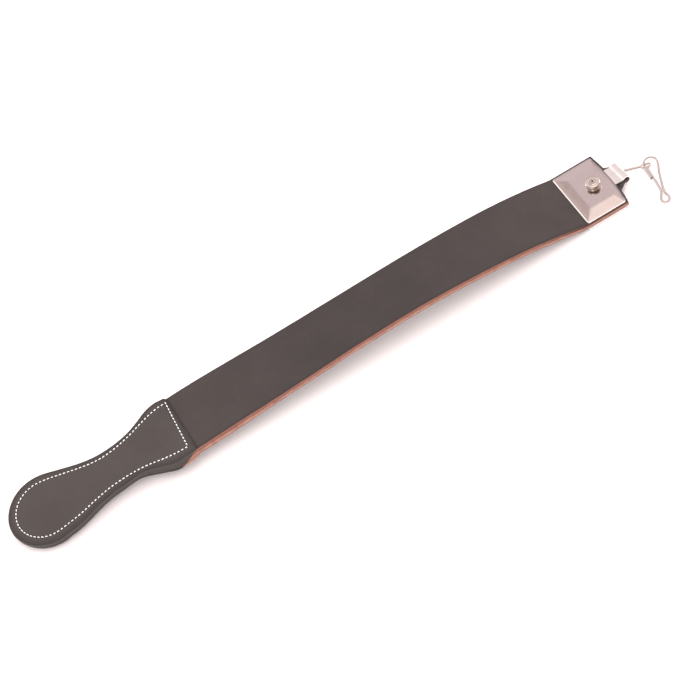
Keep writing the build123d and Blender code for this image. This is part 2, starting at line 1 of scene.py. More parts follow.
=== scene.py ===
"""A two-layer leather strap with a stitched keyhole handle at one end and a clamp at the other.

X runs along the strap: the handle is at the -X end, the clamp plates begin at X_PLATE and the
bail and snap hook are beyond them. Y runs across the strap and Z is up. "Front" is the upper
layer, "back" the lower. Design lengths are in millimetres; meshes are scaled by MM to metres.
"""

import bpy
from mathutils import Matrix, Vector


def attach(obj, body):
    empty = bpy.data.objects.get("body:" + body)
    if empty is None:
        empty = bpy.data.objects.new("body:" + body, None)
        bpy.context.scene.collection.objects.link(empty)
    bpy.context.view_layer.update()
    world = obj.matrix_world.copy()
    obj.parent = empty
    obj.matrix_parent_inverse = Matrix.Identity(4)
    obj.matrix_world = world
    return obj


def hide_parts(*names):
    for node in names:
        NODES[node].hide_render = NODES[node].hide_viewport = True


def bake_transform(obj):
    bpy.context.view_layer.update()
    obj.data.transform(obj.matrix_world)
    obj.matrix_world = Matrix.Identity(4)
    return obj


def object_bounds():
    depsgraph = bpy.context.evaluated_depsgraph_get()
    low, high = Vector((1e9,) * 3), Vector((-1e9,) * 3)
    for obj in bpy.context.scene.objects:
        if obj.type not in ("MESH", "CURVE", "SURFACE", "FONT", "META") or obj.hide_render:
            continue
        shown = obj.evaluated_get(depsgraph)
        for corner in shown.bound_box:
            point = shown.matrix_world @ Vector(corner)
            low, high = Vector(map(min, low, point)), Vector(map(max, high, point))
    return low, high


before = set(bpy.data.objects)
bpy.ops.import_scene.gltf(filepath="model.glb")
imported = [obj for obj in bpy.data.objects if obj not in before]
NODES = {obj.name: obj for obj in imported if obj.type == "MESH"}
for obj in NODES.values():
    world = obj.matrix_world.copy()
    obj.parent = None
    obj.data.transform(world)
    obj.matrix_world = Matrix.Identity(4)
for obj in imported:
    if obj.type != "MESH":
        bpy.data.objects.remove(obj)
CAD_BOX = [list(v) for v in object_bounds()]

import math

import bmesh
import bpy
import numpy as np
from mathutils import Matrix, Vector, noise

MM = 0.001
scene = bpy.context.scene
SIDES = (("front", 1), ("back", -1))    # name, and the way the layer faces

# ---------------------------------------------------------------- design data (mm, degrees)
STRAP_W = 50.8
STRAP_T = 2.8
LAYER_GAP = 0.2
SPAN = 314.5            # root of the handle to the start of the plates
PLATE_L = 31.6
PLATE_W = 49.0
PLATE_SAG = 2.0         # how far the end at the hook is bowed
SCREW_SETBACK = 20.1
BACK_RISE = 2.2         # underside of the straps at the clamp
HANDLE_TILT = 4.9
COVER_T = 2.6
END_X = 109.2           # root to the centre of the handle's round end
END_R = 28.6
SEW_R = 22.4
SEW_START = 3.0
STITCH_PITCH = 3.0
BAIL_YAW = 4.0
CLAMP_SHIFT = 1.1       # sideways drift of the strap towards the clamp
TWIST = -7.3            # roll of the strap at mid span

HALF_STACK = LAYER_GAP / 2 + STRAP_T
Z_MID = BACK_RISE + STRAP_T + LAYER_GAP / 2
Z_RIM_FRONT = Z_MID + LAYER_GAP / 2 + STRAP_T
X_PLATE = -SCREW_SETBACK
X_PLATE_END = X_PLATE + PLATE_L + PLATE_SAG
X_ROOT = X_PLATE - SPAN

# Handle: (distance from the root, half width)
HANDLE_STATIONS = [
    (0.0, 26.3), (5.5, 26.7), (11.0, 26.8), (16.0, 25.9), (20.0, 24.5), (24.0, 22.6),
    (28.0, 20.9), (33.0, 19.15), (39.0, 17.8), (45.0, 17.05), (50.0, 16.85), (56.0, 16.95),
    (62.0, 17.35), (68.0, 18.25), (74.0, 19.6), (80.0, 21.3), (85.0, 22.95), (90.0, 24.6),
    (96.0, 26.5),
]
# Sewing line: (distance from the root, half width)
SEW_STATIONS = [
    (0.0, 21.3), (6.0, 21.15), (11.0, 20.8), (16.0, 20.0), (20.0, 19.1), (24.0, 18.1),
    (28.0, 16.95), (33.0, 15.5), (39.0, 14.2), (45.0, 13.3), (50.0, 12.8), (56.0, 12.6),
    (62.0, 12.85), (68.0, 13.65), (74.0, 14.9), (80.0, 16.4), (85.0, 17.8), (90.0, 19.1),
    (96.0, 20.45), (101.0, 21.4),
]
# Centre line of the handle: (distance from the root, y)
CENTRE = [
    (0.0, -0.35), (12.0, -0.4), (28.0, -0.75), (45.0, -1.15), (56.0, -1.45), (68.0, -1.05),
    (80.0, -0.35), (90.0, 0.25), (97.0, 0.95), (104.0, 1.5), (112.0, 1.6),
]
# Extra width on the -Y edge: (distance from the root, width)
SWELL = [
    (0.0, 0.0), (10.0, 0.3), (16.0, 0.9), (20.0, 1.35), (24.0, 1.35), (28.0, 1.0),
    (33.0, 0.35), (38.0, 0.0),
]
# Arch of the strap: (fraction of the span from the root, rise above Z_MID)
ARCH = [
    (0.0, 9.25), (0.05, 10.25), (0.11, 10.95), (0.25, 11.9), (0.4, 13.9), (0.5, 14.95),
    (0.6, 15.3), (0.7, 14.35), (0.8, 11.75), (0.88, 7.95), (0.94, 4.1), (0.972, 1.75),
    (0.989, 0.45), (1.0, 0.0),
]
HINGES = [X_ROOT + SPAN * fraction for fraction in (0.0572, 0.5, 0.946)]
END_Y = CENTRE[-1][1]
ARC_START = math.radians(80)            # the round end begins here, measured from +X
ARC_JOIN = END_X - END_R * math.cos(ARC_START)


# ---------------------------------------------------------------- curves
class ClampedSpline:
    """Cubic spline through points with given end slopes; calling it gives (value, slope)."""

    def __init__(self, points, start_slope, end_slope):
        self.x, self.y = zip(*points)
        gaps = [b - a for a, b in zip(self.x, self.x[1:])]
        chords = [(b - a) / gap for a, b, gap in zip(self.y, self.y[1:], gaps)]
        count = len(points)
        matrix = np.zeros((count, count))
        target = np.zeros(count)
        matrix[0, :2] = 2 * gaps[0], gaps[0]
        target[0] = 6 * (chords[0] - start_slope)
        for i in range(1, count - 1):
            matrix[i, i - 1:i + 2] = gaps[i - 1], 2 * (gaps[i - 1] + gaps[i]), gaps[i]
            target[i] = 6 * (chords[i] - chords[i - 1])
        matrix[-1, -2:] = gaps[-1], 2 * gaps[-1]
        target[-1] = 6 * (end_slope - chords[-1])
        self.gaps = gaps
        self.bend = np.linalg.solve(matrix, target)

    def __call__(self, x):
        k = int(np.searchsorted(self.x, x, side="right")) - 1
        k = min(len(self.gaps) - 1, max(0, k))
        gap = self.gaps[k]
        after = x - self.x[k]
        before = gap - after
        bend0, bend1 = self.bend[k], self.bend[k + 1]
        start = self.y[k] / gap - bend0 * gap / 6
        end = self.y[k + 1] / gap - bend1 * gap / 6
        value = (bend0 * before ** 3 + bend1 * after ** 3) / (6 * gap)
        slope = (-bend0 * before ** 2 + bend1 * after ** 2) / (2 * gap)
        return value + start * before + end * after, slope - start + end


def smooth(t):
    """Ease from 0 to 1 as t goes from 0 to 1."""
    t = min(1.0, max(0.0, t))
    return t * t * (3 - 2 * t)


def read_table(table, distance):
    """Smooth curve through a table of (distance, value), level at both ends."""
    if distance <= table[0][0]:
        return table[0][1]
    if distance >= table[-1][0]:
        return table[-1][1]
    slopes = [(b[1] - a[1]) / (b[0] - a[0]) for a, b in zip(table, table[2:])]
    slopes = [0.0, *slopes, 0.0]
    k = 0
    while k < len(table) - 2 and table[k + 1][0] < distance:
        k += 1
    (x0, y0), (x1, y1) = table[k:k + 2]
    gap = x1 - x0
    t = (distance - x0) / gap
    return (y0 * (1 + 2 * t) * (1 - t) ** 2 + slopes[k] * gap * t * (1 - t) ** 2
            + y1 * t * t * (3 - 2 * t) + slopes[k + 1] * gap * t * t * (t - 1))


def layered_noise(point, octaves=3):
    total, weight = 0.0, 0.5
    place = Vector(point)
    for _ in range(octaves):
        total += weight * noise.noise(place)
        place = place * 2.03
        weight *= 0.5
    return total


ROOT_SLOPE = math.tan(math.radians(HANDLE_TILT))
ARCH_CURVE = ClampedSpline([(X_ROOT + SPAN * s, Z_MID + rise) for s, rise in ARCH],
                           ROOT_SLOPE, 0.0)
HANDLE_FRAME = (Matrix.Translation((X_ROOT, 0, ARCH_CURVE(X_ROOT)[0]))
                @ Matrix.Rotation(math.radians(-HANDLE_TILT), 4, "Y"))


def mid_height(x):
    """Height and slope of the surface between the two layers."""
    if x <= X_ROOT:
        return ARCH_CURVE.y[0] + ROOT_SLOPE * (x - X_ROOT), ROOT_SLOPE
    if x >= X_PLATE:
        return Z_MID, 0.0
    return ARCH_CURVE(x)


def strap_frame(x):
    """Centre of the strap at x, and its directions along, across and out of the face."""
    z, slope = mid_height(x)
    s = min(1.0, max(0.0, (x - X_ROOT) / SPAN))
    roll = math.radians(TWIST * 16 * s * s * (1 - s) ** 2)
    length = math.hypot(1, slope)
    along = Vector((1 / length, 0, slope / length))
    up = Vector((-slope / length, 0, 1 / length))
    across = Vector((0, 1, 0)) * math.cos(roll) + up * math.sin(roll)
    drift = CLAMP_SHIFT * smooth((x - X_PLATE + 95) / 80)
    return Vector((x, drift, z)), along, across, along.cross(across)


def edge_spline(points):
    join = 1 / math.tan(ARC_START)
    return ClampedSpline(points, 0.1, join)


FAR_EDGE = edge_spline(
    [(d, read_table(CENTRE, d) + half) for d, half in HANDLE_STATIONS]
    + [(ARC_JOIN, END_Y + END_R * math.sin(ARC_START))])
NEAR_EDGE = edge_spline(
    [(d, -read_table(CENTRE, d) + half + read_table(SWELL, d)) for d, half in HANDLE_STATIONS]
    + [(ARC_JOIN, -END_Y + END_R * math.sin(ARC_START))])


def outline(distance):
    """The handle's -Y and +Y edges at a distance from its root."""
    if distance >= ARC_JOIN:
        half = math.sqrt(max(0.0, END_R ** 2 - (distance - END_X) ** 2))
        return END_Y - half, END_Y + half
    distance = max(0.0, distance)
    return -NEAR_EDGE(distance)[0], FAR_EDGE(distance)[0]


def back_step(distance):
    """How far the back cover steps in, where the back strap ends inside the handle."""
    start, end = 30.0, 47.0
    return (HALF_STACK + 0.08) * smooth((distance - start) / (end - start))


def edge_inset(distance):
    return smooth((distance - 20) / 27)


# ---------------------------------------------------------------- mesh helpers
def link_object(name, data):
    ob = bpy.data.objects.new(name, data)
    scene.collection.objects.link(ob)
    return ob


def mark_sharp(mesh, angle):
    """Mark edges between two faces sharp where they bend by the angle or more."""
    bm = bmesh.new()
    bm.from_mesh(mesh)
    limit = math.radians(angle)
    for edge in bm.edges:
        edge.smooth = len(edge.link_faces) != 2 or edge.calc_face_angle(0.0) < limit
    bm.to_mesh(mesh)
    bm.free()


def make_object(name, verts, faces, materials, face_slots, rest, sharp_angle):
    """Smooth-shaded mesh; rest_co holds each point's unbent place in mm for the textures."""
    mesh = bpy.data.meshes.new(name)
    mesh.from_pydata([tuple(v) for v in verts], [], faces)
    for material in materials:
        mesh.materials.append(material)
    mesh.polygons.foreach_set("material_index", np.array(face_slots, np.int32))
    attribute = mesh.attributes.new("rest_co", "FLOAT_VECTOR", "POINT")
    attribute.data.foreach_set("vector", np.array(rest, np.float32).ravel())
    mesh.validate()
    mesh.update()
    ob = link_object(name, mesh)
    mesh.polygons.foreach_set("use_smooth", np.ones(len(mesh.polygons), bool))
    mark_sharp(mesh, sharp_angle)
    return ob


def tube_faces(first, rings, count):
    """Quads between consecutive rings of count vertices, starting at vertex first."""
    faces = []
    for a in range(first, first + (rings - 1) * count, count):
        for i in range(count):
            j = (i + 1) % count
            faces.append((a + i, a + j, a + count + j, a + count + i))
    return faces


# ---------------------------------------------------------------- shader helpers
class Graph:
    """Builds nodes in an emptied node tree."""

    def __init__(self, tree):
        self.tree = tree
        tree.nodes.clear()

    def feed(self, socket, value):
        """Link an output into the socket, or set a plain value; colours get their alpha."""
        if hasattr(value, "is_output"):
            self.tree.links.new(value, socket)
        else:
            socket.default_value = (*value, 1) if socket.type == "RGBA" else value

    def node(self, kind, inputs=None, **settings):
        made = self.tree.nodes.new(kind)
        for key, value in settings.items():
            setattr(made, key, value)
        for key, value in (inputs or {}).items():
            self.feed(made.inputs[key], value)
        return made

    def ramp(self, value, stops):
        made = self.node("ShaderNodeValToRGB", {0: value})
        elements = made.color_ramp.elements
        while len(elements) < len(stops):
            elements.new(0.5)
        for element, (position, colour) in zip(elements, stops):
            element.position = position
            element.color = (*colour, 1)
        return made.outputs[0]

    def mix(self, under, over, amount, blend="MIX"):
        """Lay one colour over another."""
        inputs = {0: amount, 6: under, 7: over}
        return self.node("ShaderNodeMix", inputs, data_type="RGBA", blend_type=blend).outputs[2]

    def remap(self, value, span, to=(0.0, 1.0), **settings):
        inputs = dict(enumerate((value, *span, *to)))
        return self.node("ShaderNodeMapRange", inputs, **settings).outputs[0]

    def vector(self, operation, *values):
        inputs = dict(enumerate(values))
        return self.node("ShaderNodeVectorMath", inputs, operation=operation).outputs

    def split(self, vector):
        return self.node("ShaderNodeSeparateXYZ", {0: vector}).outputs


class Material(Graph):
    """A Principled material."""

    def __init__(self, name):
        self.material = bpy.data.materials.new(name)
        self.material.use_nodes = True
        super().__init__(self.material.node_tree)
        output = self.node("ShaderNodeOutputMaterial")
        self.principled = self.node("ShaderNodeBsdfPrincipled")
        self.feed(output.inputs[0], self.principled.outputs[0])

    def surface(self, **inputs):
        """Set or link Principled inputs and return the material."""
        for key, value in inputs.items():
            self.feed(self.principled.inputs[key.replace("_", " ")], value)
        return self.material

    def coord(self, scale=(1, 1, 1), rest=True):
        """Texture place in mm: the rest place, or else the object's own coordinates."""
        if rest:
            source = self.attribute("rest_co", "Vector")
        else:
            source = self.node("ShaderNodeTexCoord").outputs["Object"]
            scale = tuple(s / MM for s in scale)
        return self.node("ShaderNodeMapping", {"Vector": source, "Scale": scale}).outputs[0]

    def attribute(self, name, output="Fac"):
        return self.node("ShaderNodeAttribute", attribute_name=name).outputs[output]

    def noise(self, place, scale, detail=3.0, rough=0.55, distortion=0.0):
        inputs = {"Vector": place, "Scale": scale, "Detail": detail, "Roughness": rough,
                  "Distortion": distortion}
        return self.node("ShaderNodeTexNoise", inputs).outputs["Fac"]

    def voronoi(self, place, scale):
        inputs = {"Vector": place, "Scale": scale}
        return self.node("ShaderNodeTexVoronoi", inputs).outputs["Distance"]

    def math(self, operation, a, b=0.0):
        return self.node("ShaderNodeMath", {0: a, 1: b}, operation=operation).outputs[0]

    def add(self, a, b):
        return self.math("ADD", a, b)

    def minus(self, a, b):
        return self.math("SUBTRACT", a, b)

    def times(self, a, b):
        return self.math("MULTIPLY", a, b)

    def waver(self, value, amount):
        """Noise centred on zero."""
        return self.times(self.minus(value, 0.5), amount)

    def bump(self, height, strength, distance, normal=None):
        inputs = {"Strength": strength, "Distance": distance, "Height": height}
        if normal is not None:
            inputs["Normal"] = normal
        return self.node("ShaderNodeBump", inputs).outputs[0]

    def dye_line(self, place, x, z):
        """x measured along a line that slants across the layers and wavers."""
        slanted = self.add(x, self.times(z, -1.73))
        return self.add(slanted, self.waver(self.noise(place, scale=0.5, detail=4), amount=4.0))


# ---------------------------------------------------------------- leather and thread
def leather(name, base, dark, light, rough, grain=0.5, streak=0.5, painted_sheen_and_shade=False, seam=False):
    """Smooth dyed leather: fine grain, pores, faint lengthwise streaks, slow colour drift."""
    mat = Material(name)
    place = mat.coord()
    slow = mat.noise(place, scale=0.035, detail=4, rough=0.6)
    blotch = mat.noise(place, scale=0.22, rough=0.6)
    long = mat.noise(mat.coord(scale=(0.012, 0.35, 0.35)), scale=1.0, detail=4, rough=0.6)
    pores = mat.voronoi(place, scale=1.55)
    fine = mat.noise(place, scale=4.2, detail=4, rough=0.65)
    colour = mat.mix(dark, light, mat.remap(slow, span=(0.3, 0.7)))
    colour = mat.mix(colour, base, amount=0.55)
    colour = mat.mix(colour, light, mat.remap(long, span=(0.35, 0.75), to=(0.0, 0.35 * streak)))
    colour = mat.mix(colour, dark, mat.remap(blotch, span=(0.35, 0.7), to=(0.0, 0.3)))
    colour = mat.mix(colour, light, mat.remap(fine, span=(0.4, 0.75), to=(0.0, 0.16)))
    if painted_sheen_and_shade:
        # painted sheen and shade: darker in the middle of the strap and lighter towards both ends
        # as painted sheen, darker along its edges, and a painted shadow at the handle's root
        x, y, _ = mat.split(place)
        from_middle = mat.math("ABSOLUTE", mat.minus(x, (X_ROOT + X_PLATE) / 2 - 10))
        # painted sheen: the ends of the strap lighter than its middle
        painted_sheen = mat.ramp(mat.remap(from_middle, span=(40.0, 158.0)),
                        stops=[(0.0, (0.86, 0.86, 0.87)), (1.0, (1.10, 1.09, 1.09))])
        colour = mat.mix(colour, painted_sheen, amount=1.0, blend="MULTIPLY")
        at_edge = mat.remap(mat.math("ABSOLUTE", y), span=(23.2, 25.1), to=(0.0, 0.5))
        colour = mat.mix(colour, over=(0.024, 0.019, 0.018), amount=at_edge)
        # painted shadow on the strap just past the handle cover's root edge
        root_shadow = mat.remap(x, span=(X_ROOT + 0.2, X_ROOT + 2.6), to=(0.55, 0.0))
        colour = mat.mix(colour, over=(0.022, 0.017, 0.016), amount=root_shadow)
    if seam:
        # painted shade: darker at the cover's rim and round the stitch holes
        for attribute, strength, over in (("rim", 0.62, (0.025, 0.020, 0.019)),
                                          ("hole_shade", 0.8, (0.016, 0.012, 0.011))):
            colour = mat.mix(colour, over, mat.times(mat.attribute(attribute), strength))
    even = mat.add(mat.times(fine, 0.5), mat.times(long, 0.5))
    normal = mat.bump(mat.remap(pores, span=(0.0, 0.75)), strength=0.22 * grain,
                      distance=0.00012)
    normal = mat.bump(fine, strength=0.3 * grain, distance=0.00008, normal=normal)
    normal = mat.bump(slow, strength=0.35, distance=0.0012, normal=normal)
    return mat.surface(Base_Color=colour, Roughness=mat.remap(even, span=(0.3, 0.7), to=rough),
                       Normal=normal, Specular_IOR_Level=0.4)


def cut_edge():
    """Raw cut edge: reddish-brown fibres, dark where the dye runs in, dyed over at the handle."""
    mat = Material("cut_edge")
    place = mat.coord()
    fibres = mat.noise(mat.coord(scale=(0.25, 1.2, 3.2)), scale=1.0, detail=5, rough=0.62)
    fluff = mat.noise(place, scale=2.3, detail=5, rough=0.7)
    blotch = mat.noise(place, scale=0.12, rough=0.6)
    x, _, z = mat.split(place)
    # dye bleeds down from the upper face, wavering along the edge
    wave = mat.add(mat.waver(mat.noise(place, scale=0.35, detail=4, rough=0.6), amount=1.5),
                   mat.waver(mat.noise(place, scale=1.7), amount=0.6))
    depth = mat.remap(mat.add(z, wave), span=(2.9, -2.9))
    colour = mat.ramp(depth, stops=[
        (0.0, (0.075, 0.038, 0.029)), (0.10, (0.135, 0.067, 0.050)),
        (0.26, (0.225, 0.096, 0.070)), (0.44, (0.285, 0.124, 0.093)),
        (0.56, (0.375, 0.196, 0.155)), (0.8, (0.34, 0.172, 0.133)),
        (1.0, (0.24, 0.125, 0.098))])
    shade = mat.ramp(fibres, stops=[(0.28, (0.74, 0.72, 0.70)), (0.52, (1.0, 1.0, 1.0)),
                                    (0.74, (1.28, 1.30, 1.32))])
    colour = mat.mix(colour, shade, amount=1.0, blend="MULTIPLY")
    colour = mat.mix(colour, over=(0.215, 0.088, 0.066),
                     amount=mat.remap(blotch, span=(0.45, 0.68), to=(0.0, 0.62)))
    colour = mat.mix(colour, over=(0.42, 0.235, 0.185),
                     amount=mat.remap(fluff, span=(0.5, 0.8), to=(0.0, 0.3)))
    # near the clamp the upper layer is darker, dye and painted shade under the plate together,
    # and the lower one is paler
    near_clamp = mat.remap(x, span=(X_PLATE - 40, X_PLATE))
    upper = mat.remap(z, span=(-0.1, 0.1))
    colour = mat.mix(colour, over=(0.050, 0.028, 0.024),
                     amount=mat.times(near_clamp, mat.times(upper, 0.88)))
    colour = mat.mix(colour, over=(0.30, 0.165, 0.135),
                     amount=mat.times(near_clamp, mat.times(mat.minus(1.0, upper), 0.45)))
    # the seam between the two layers
    at_seam = mat.remap(mat.math("ABSOLUTE", z), span=(0.12, 0.5), to=(0.8, 0.0))
    broken = mat.remap(mat.noise(place, scale=0.3), span=(0.38, 0.6), to=(0.35, 1.0))
    colour = mat.mix(colour, over=(0.10, 0.052, 0.040), amount=mat.times(at_seam, broken))
    # burnished dark at the handle
    dyed = mat.remap(mat.dye_line(place, x, z), span=(X_ROOT - 8.4, X_ROOT - 5.0), to=(1.0, 0.0))
    colour = mat.mix(colour, over=(0.058, 0.046, 0.041), amount=dyed)
    normal = mat.bump(fibres, strength=0.65, distance=0.0004)
    normal = mat.bump(fluff, strength=0.55, distance=0.0003, normal=normal)
    return mat.surface(Base_Color=colour, Roughness=mat.minus(0.9, mat.times(dyed, 0.38)),
                       Normal=normal, Specular_IOR_Level=0.2)


def flesh_side():
    """Suede-like inner face of the straps, dyed dark inside the handle."""
    mat = Material("flesh_side")
    place = mat.coord()
    coarse = mat.noise(place, scale=0.5, detail=6, rough=0.7)
    fine = mat.noise(place, scale=3.2, detail=5, rough=0.7)
    colour = mat.ramp(coarse, stops=[(0.3, (0.30, 0.125, 0.08)), (0.7, (0.50, 0.24, 0.165))])
    colour = mat.mix(colour, over=(0.58, 0.32, 0.24),
                     amount=mat.remap(fine, span=(0.4, 0.7), to=(0.0, 0.4)))
    x, _, _ = mat.split(place)
    colour = mat.mix(colour, over=(0.05, 0.040, 0.036),
                     amount=mat.remap(x, span=(X_ROOT - 9.0, X_ROOT - 5.0), to=(1.0, 0.0)))
    return mat.surface(Base_Color=colour, Roughness=0.92, Specular_IOR_Level=0.15,
                       Normal=mat.bump(fine, strength=0.7, distance=0.0004))


def burnished_edge():
    """Cover edge: dark and slightly glossy, with faint lines along it and rubbed spots."""
    mat = Material("burnished_edge")
    place = mat.coord()
    layers = mat.noise(mat.coord(scale=(0.1, 0.1, 2.6)), scale=1.0, rough=0.5)
    spots = mat.noise(place, scale=0.45, detail=4, rough=0.65)
    fine = mat.noise(place, scale=3.0, detail=4, rough=0.65)
    colour = mat.mix(under=(0.022, 0.019, 0.018), over=(0.042, 0.035, 0.032),
                     amount=mat.remap(layers, span=(0.35, 0.7), to=(0.0, 0.8)))
    colour = mat.mix(colour, over=(0.085, 0.060, 0.050),
                     amount=mat.remap(spots, span=(0.58, 0.78), to=(0.0, 0.3)))
    # undyed patch on the root side of the dye line, between two heights
    x, _, z = mat.split(place)
    raw = mat.times(mat.remap(mat.dye_line(place, x, z), span=(X_ROOT - 10.0, X_ROOT - 6.4)),
                    mat.remap(z, span=(-5.2, -4.8)))
    raw = mat.times(raw, mat.remap(z, span=(-1.0, 1.0), to=(1.0, 0.0)))
    undyed = mat.mix(under=(0.30, 0.15, 0.115), over=(0.44, 0.25, 0.20),
                     amount=mat.remap(fine, span=(0.35, 0.7)))
    normal = mat.bump(layers, strength=0.5, distance=0.0004)
    normal = mat.bump(fine, strength=0.4, distance=0.00015, normal=normal)
    return mat.surface(Base_Color=mat.mix(colour, undyed, raw), Normal=normal,
                       Roughness=mat.remap(fine, span=(0.3, 0.7), to=(0.38, 0.55)))


def white_thread():
    mat = Material("white_thread")
    fuzz = mat.noise(mat.coord(), scale=6.0, rough=0.6)
    colour = mat.mix(under=(0.92, 0.91, 0.89), over=(0.74, 0.72, 0.69),
                     amount=mat.remap(fuzz, span=(0.35, 0.7), to=(0.0, 0.5)))
    return mat.surface(Base_Color=colour, Roughness=0.62, Specular_IOR_Level=0.35,
                       Normal=mat.bump(fuzz, strength=0.4, distance=0.0001))


# ---------------------------------------------------------------- metal and tab
def pressed_sheet(mat, place, colour):
    """Soft creases round the raised field, a rolled lip at the rim and a painted highlight along
    the rim: (colour, normal).
    """
    x, y, _ = mat.split(place)
    from_end = mat.minus(x, X_PLATE)
    from_side = mat.minus(PLATE_W / 2, mat.math("ABSOLUTE", y))
    field = mat.remap(mat.math("MINIMUM", from_end, from_side), span=(2.6, 3.6))
    tight, wide = (mat.node("ShaderNodeBevel", {"Radius": radius * MM}, samples=6)
                   .outputs["Normal"] for radius in (0.3, 2.3))
    creases = mat.node("ShaderNodeMix", {0: field, 4: tight, 5: wide}, data_type="VECTOR")
    lip_x = mat.remap(from_end, span=(0.95, 0.75), to=(0.0, -0.45))
    lip_y = mat.times(mat.remap(from_side, span=(0.95, 0.75), to=(0.0, 0.42)),
                      mat.math("SIGN", y))
    lip = mat.node("ShaderNodeCombineXYZ", {0: lip_x, 1: lip_y}).outputs[0]
    # painted highlight: the colour at the plate's rim is brightened to a white line
    rim_highlight = mat.math("MAXIMUM", mat.remap(from_end, span=(1.0, 0.8)),
                      mat.remap(from_side, span=(1.0, 0.8)))
    colour = mat.mix(colour, over=(1.0, 0.975, 0.96), amount=rim_highlight)
    normal = mat.vector("NORMALIZE", mat.vector("ADD", creases.outputs[1], lip)[0])[0]
    return colour, normal


def metal(name, base, rough, scratch, smudge=0.08, rim=0.0, occlusion_shade=0.0, stamped=False,
          metallic=1.0):
    """Bright plated metal: handling scratches, faint smudges and slight orange-peel."""
    mat = Material(name)
    place = mat.coord(rest=False)
    smudges = mat.noise(place, scale=0.12, detail=4, rough=0.6)
    fine = mat.noise(place, scale=1.4, detail=4, rough=0.6)
    # scratches: stretched noise, thin across Y and then thin across X
    thin_y, thin_x = (
        mat.noise(mat.coord(stretch, rest=False), scale=1.0, detail=4, rough=0.7, distortion=0.4)
        for stretch in ((0.35, 5.5, 0.35), (4.8, 0.4, 0.5)))
    colour = mat.mix(base, tuple(c * 0.86 for c in base),
                     mat.remap(smudges, span=(0.35, 0.7), to=(0.0, 0.35)))
    if rim:
        # painted shade: darker where the surface turns away from view, a painted dark reflection
        # along the outlines
        facing = mat.node("ShaderNodeLayerWeight", {"Blend": 0.5}).outputs["Facing"]
        colour = mat.mix(colour, over=(0.13, 0.08, 0.068),
                         amount=mat.remap(facing, span=(0.25, 0.8), to=(0.0, rim)))
    if occlusion_shade:
        # painted shade: darker in the corners and recesses, from ambient occlusion
        occlusion = mat.node("ShaderNodeAmbientOcclusion", {"Distance": 0.0022}, samples=6)
        colour = mat.mix(colour, over=(0.17, 0.115, 0.075),
                         amount=mat.remap(occlusion.outputs["AO"], span=(0.25, 0.85),
                                          to=(occlusion_shade, 0.0)))
    normal = None
    if stamped:
        colour, normal = pressed_sheet(mat, place, colour)
    normal = mat.bump(thin_y, strength=0.06 * scratch, distance=0.0001, normal=normal)
    normal = mat.bump(thin_x, strength=0.05 * scratch, distance=0.0001, normal=normal)
    normal = mat.bump(fine, strength=0.03, distance=0.0002, normal=normal)
    roughness = mat.add(mat.remap(smudges, span=(0.35, 0.75), to=(rough, rough + smudge)),
                        mat.remap(thin_y, span=(0.55, 0.8), to=(0.0, 0.06)))
    return mat.surface(Base_Color=colour, Roughness=roughness, Normal=normal, Metallic=metallic)


def tab_leather():
    mat = Material("tab_leather")
    place = mat.coord(rest=False)
    coarse = mat.noise(place, scale=0.5, detail=4, rough=0.6)
    fine = mat.noise(place, scale=3.4, detail=4, rough=0.65)
    pores = mat.bump(mat.voronoi(place, scale=1.9), strength=0.35, distance=0.0002)
    colour = mat.mix(under=(0.030, 0.026, 0.026), over=(0.062, 0.054, 0.052),
                     amount=mat.remap(coarse, span=(0.3, 0.7)))
    return mat.surface(Base_Color=colour,
                       Normal=mat.bump(fine, strength=0.5, distance=0.0002, normal=pores),
                       Roughness=mat.remap(fine, span=(0.3, 0.7), to=(0.5, 0.72)))


STRAP_LEATHER = leather("strap_leather", base=(0.043, 0.0330, 0.0312),
                        dark=(0.034, 0.0255, 0.0240), light=(0.054, 0.0420, 0.0400),
                        rough=(0.46, 0.6), painted_sheen_and_shade=True)
HANDLE_LEATHER = leather("handle_leather", base=(0.054, 0.0430, 0.0405),
                         dark=(0.044, 0.0345, 0.0325), light=(0.066, 0.0530, 0.0500),
                         rough=(0.44, 0.58), grain=0.6, streak=0.25, seam=True)
BACK_LEATHER = leather("back_strap_leather", base=(0.060, 0.040, 0.033),
                       dark=(0.042, 0.027, 0.022), light=(0.082, 0.055, 0.045),
                       rough=(0.5, 0.66), grain=0.9)
CUT_EDGE = cut_edge()
FLESH_SIDE = flesh_side()
COVER_EDGE = burnished_edge()
THREAD = white_thread()
PLATE = metal("bright_plate", base=(0.80, 0.735, 0.725), rough=0.1, scratch=0.35, smudge=0.1,
              stamped=True)
FITTING = metal("bright_fitting", base=(0.97, 0.90, 0.82), rough=0.1, scratch=0.2, occlusion_shade=0.75)
BAIL = metal("satin_sheet", base=(0.93, 0.89, 0.875), rough=0.26, scratch=0.3, metallic=0.86)
CATCH = metal("folded_sheet", base=(0.84, 0.79, 0.76), rough=0.16, scratch=0.25, rim=0.4)
WIRE = metal("bright_wire", base=(0.90, 0.85, 0.81), rough=0.16, scratch=0.2, rim=0.9)
TAB = tab_leather()

# ---------------------------------------------------------------- straps
STATION_STEP = 2.0
FACE_SEGMENTS = 30      # across each face of the section
SKIN_INSET = 0.35       # strap edge inside the cover's edge
OUTER_ROUND = 0.55      # corner radius at the outer face
INNER_ROUND = 0.3
BACK_END = 43.5         # the back strap reaches this far into the handle
BOW_START = -12.0       # x where the sections begin to bow towards the end at the hook

FACE_Y = [math.sin(math.pi / 2 * t) * 0.35 + t * 0.65
          for t in (-1 + 2 * i / FACE_SEGMENTS for i in range(FACE_SEGMENTS + 1))]
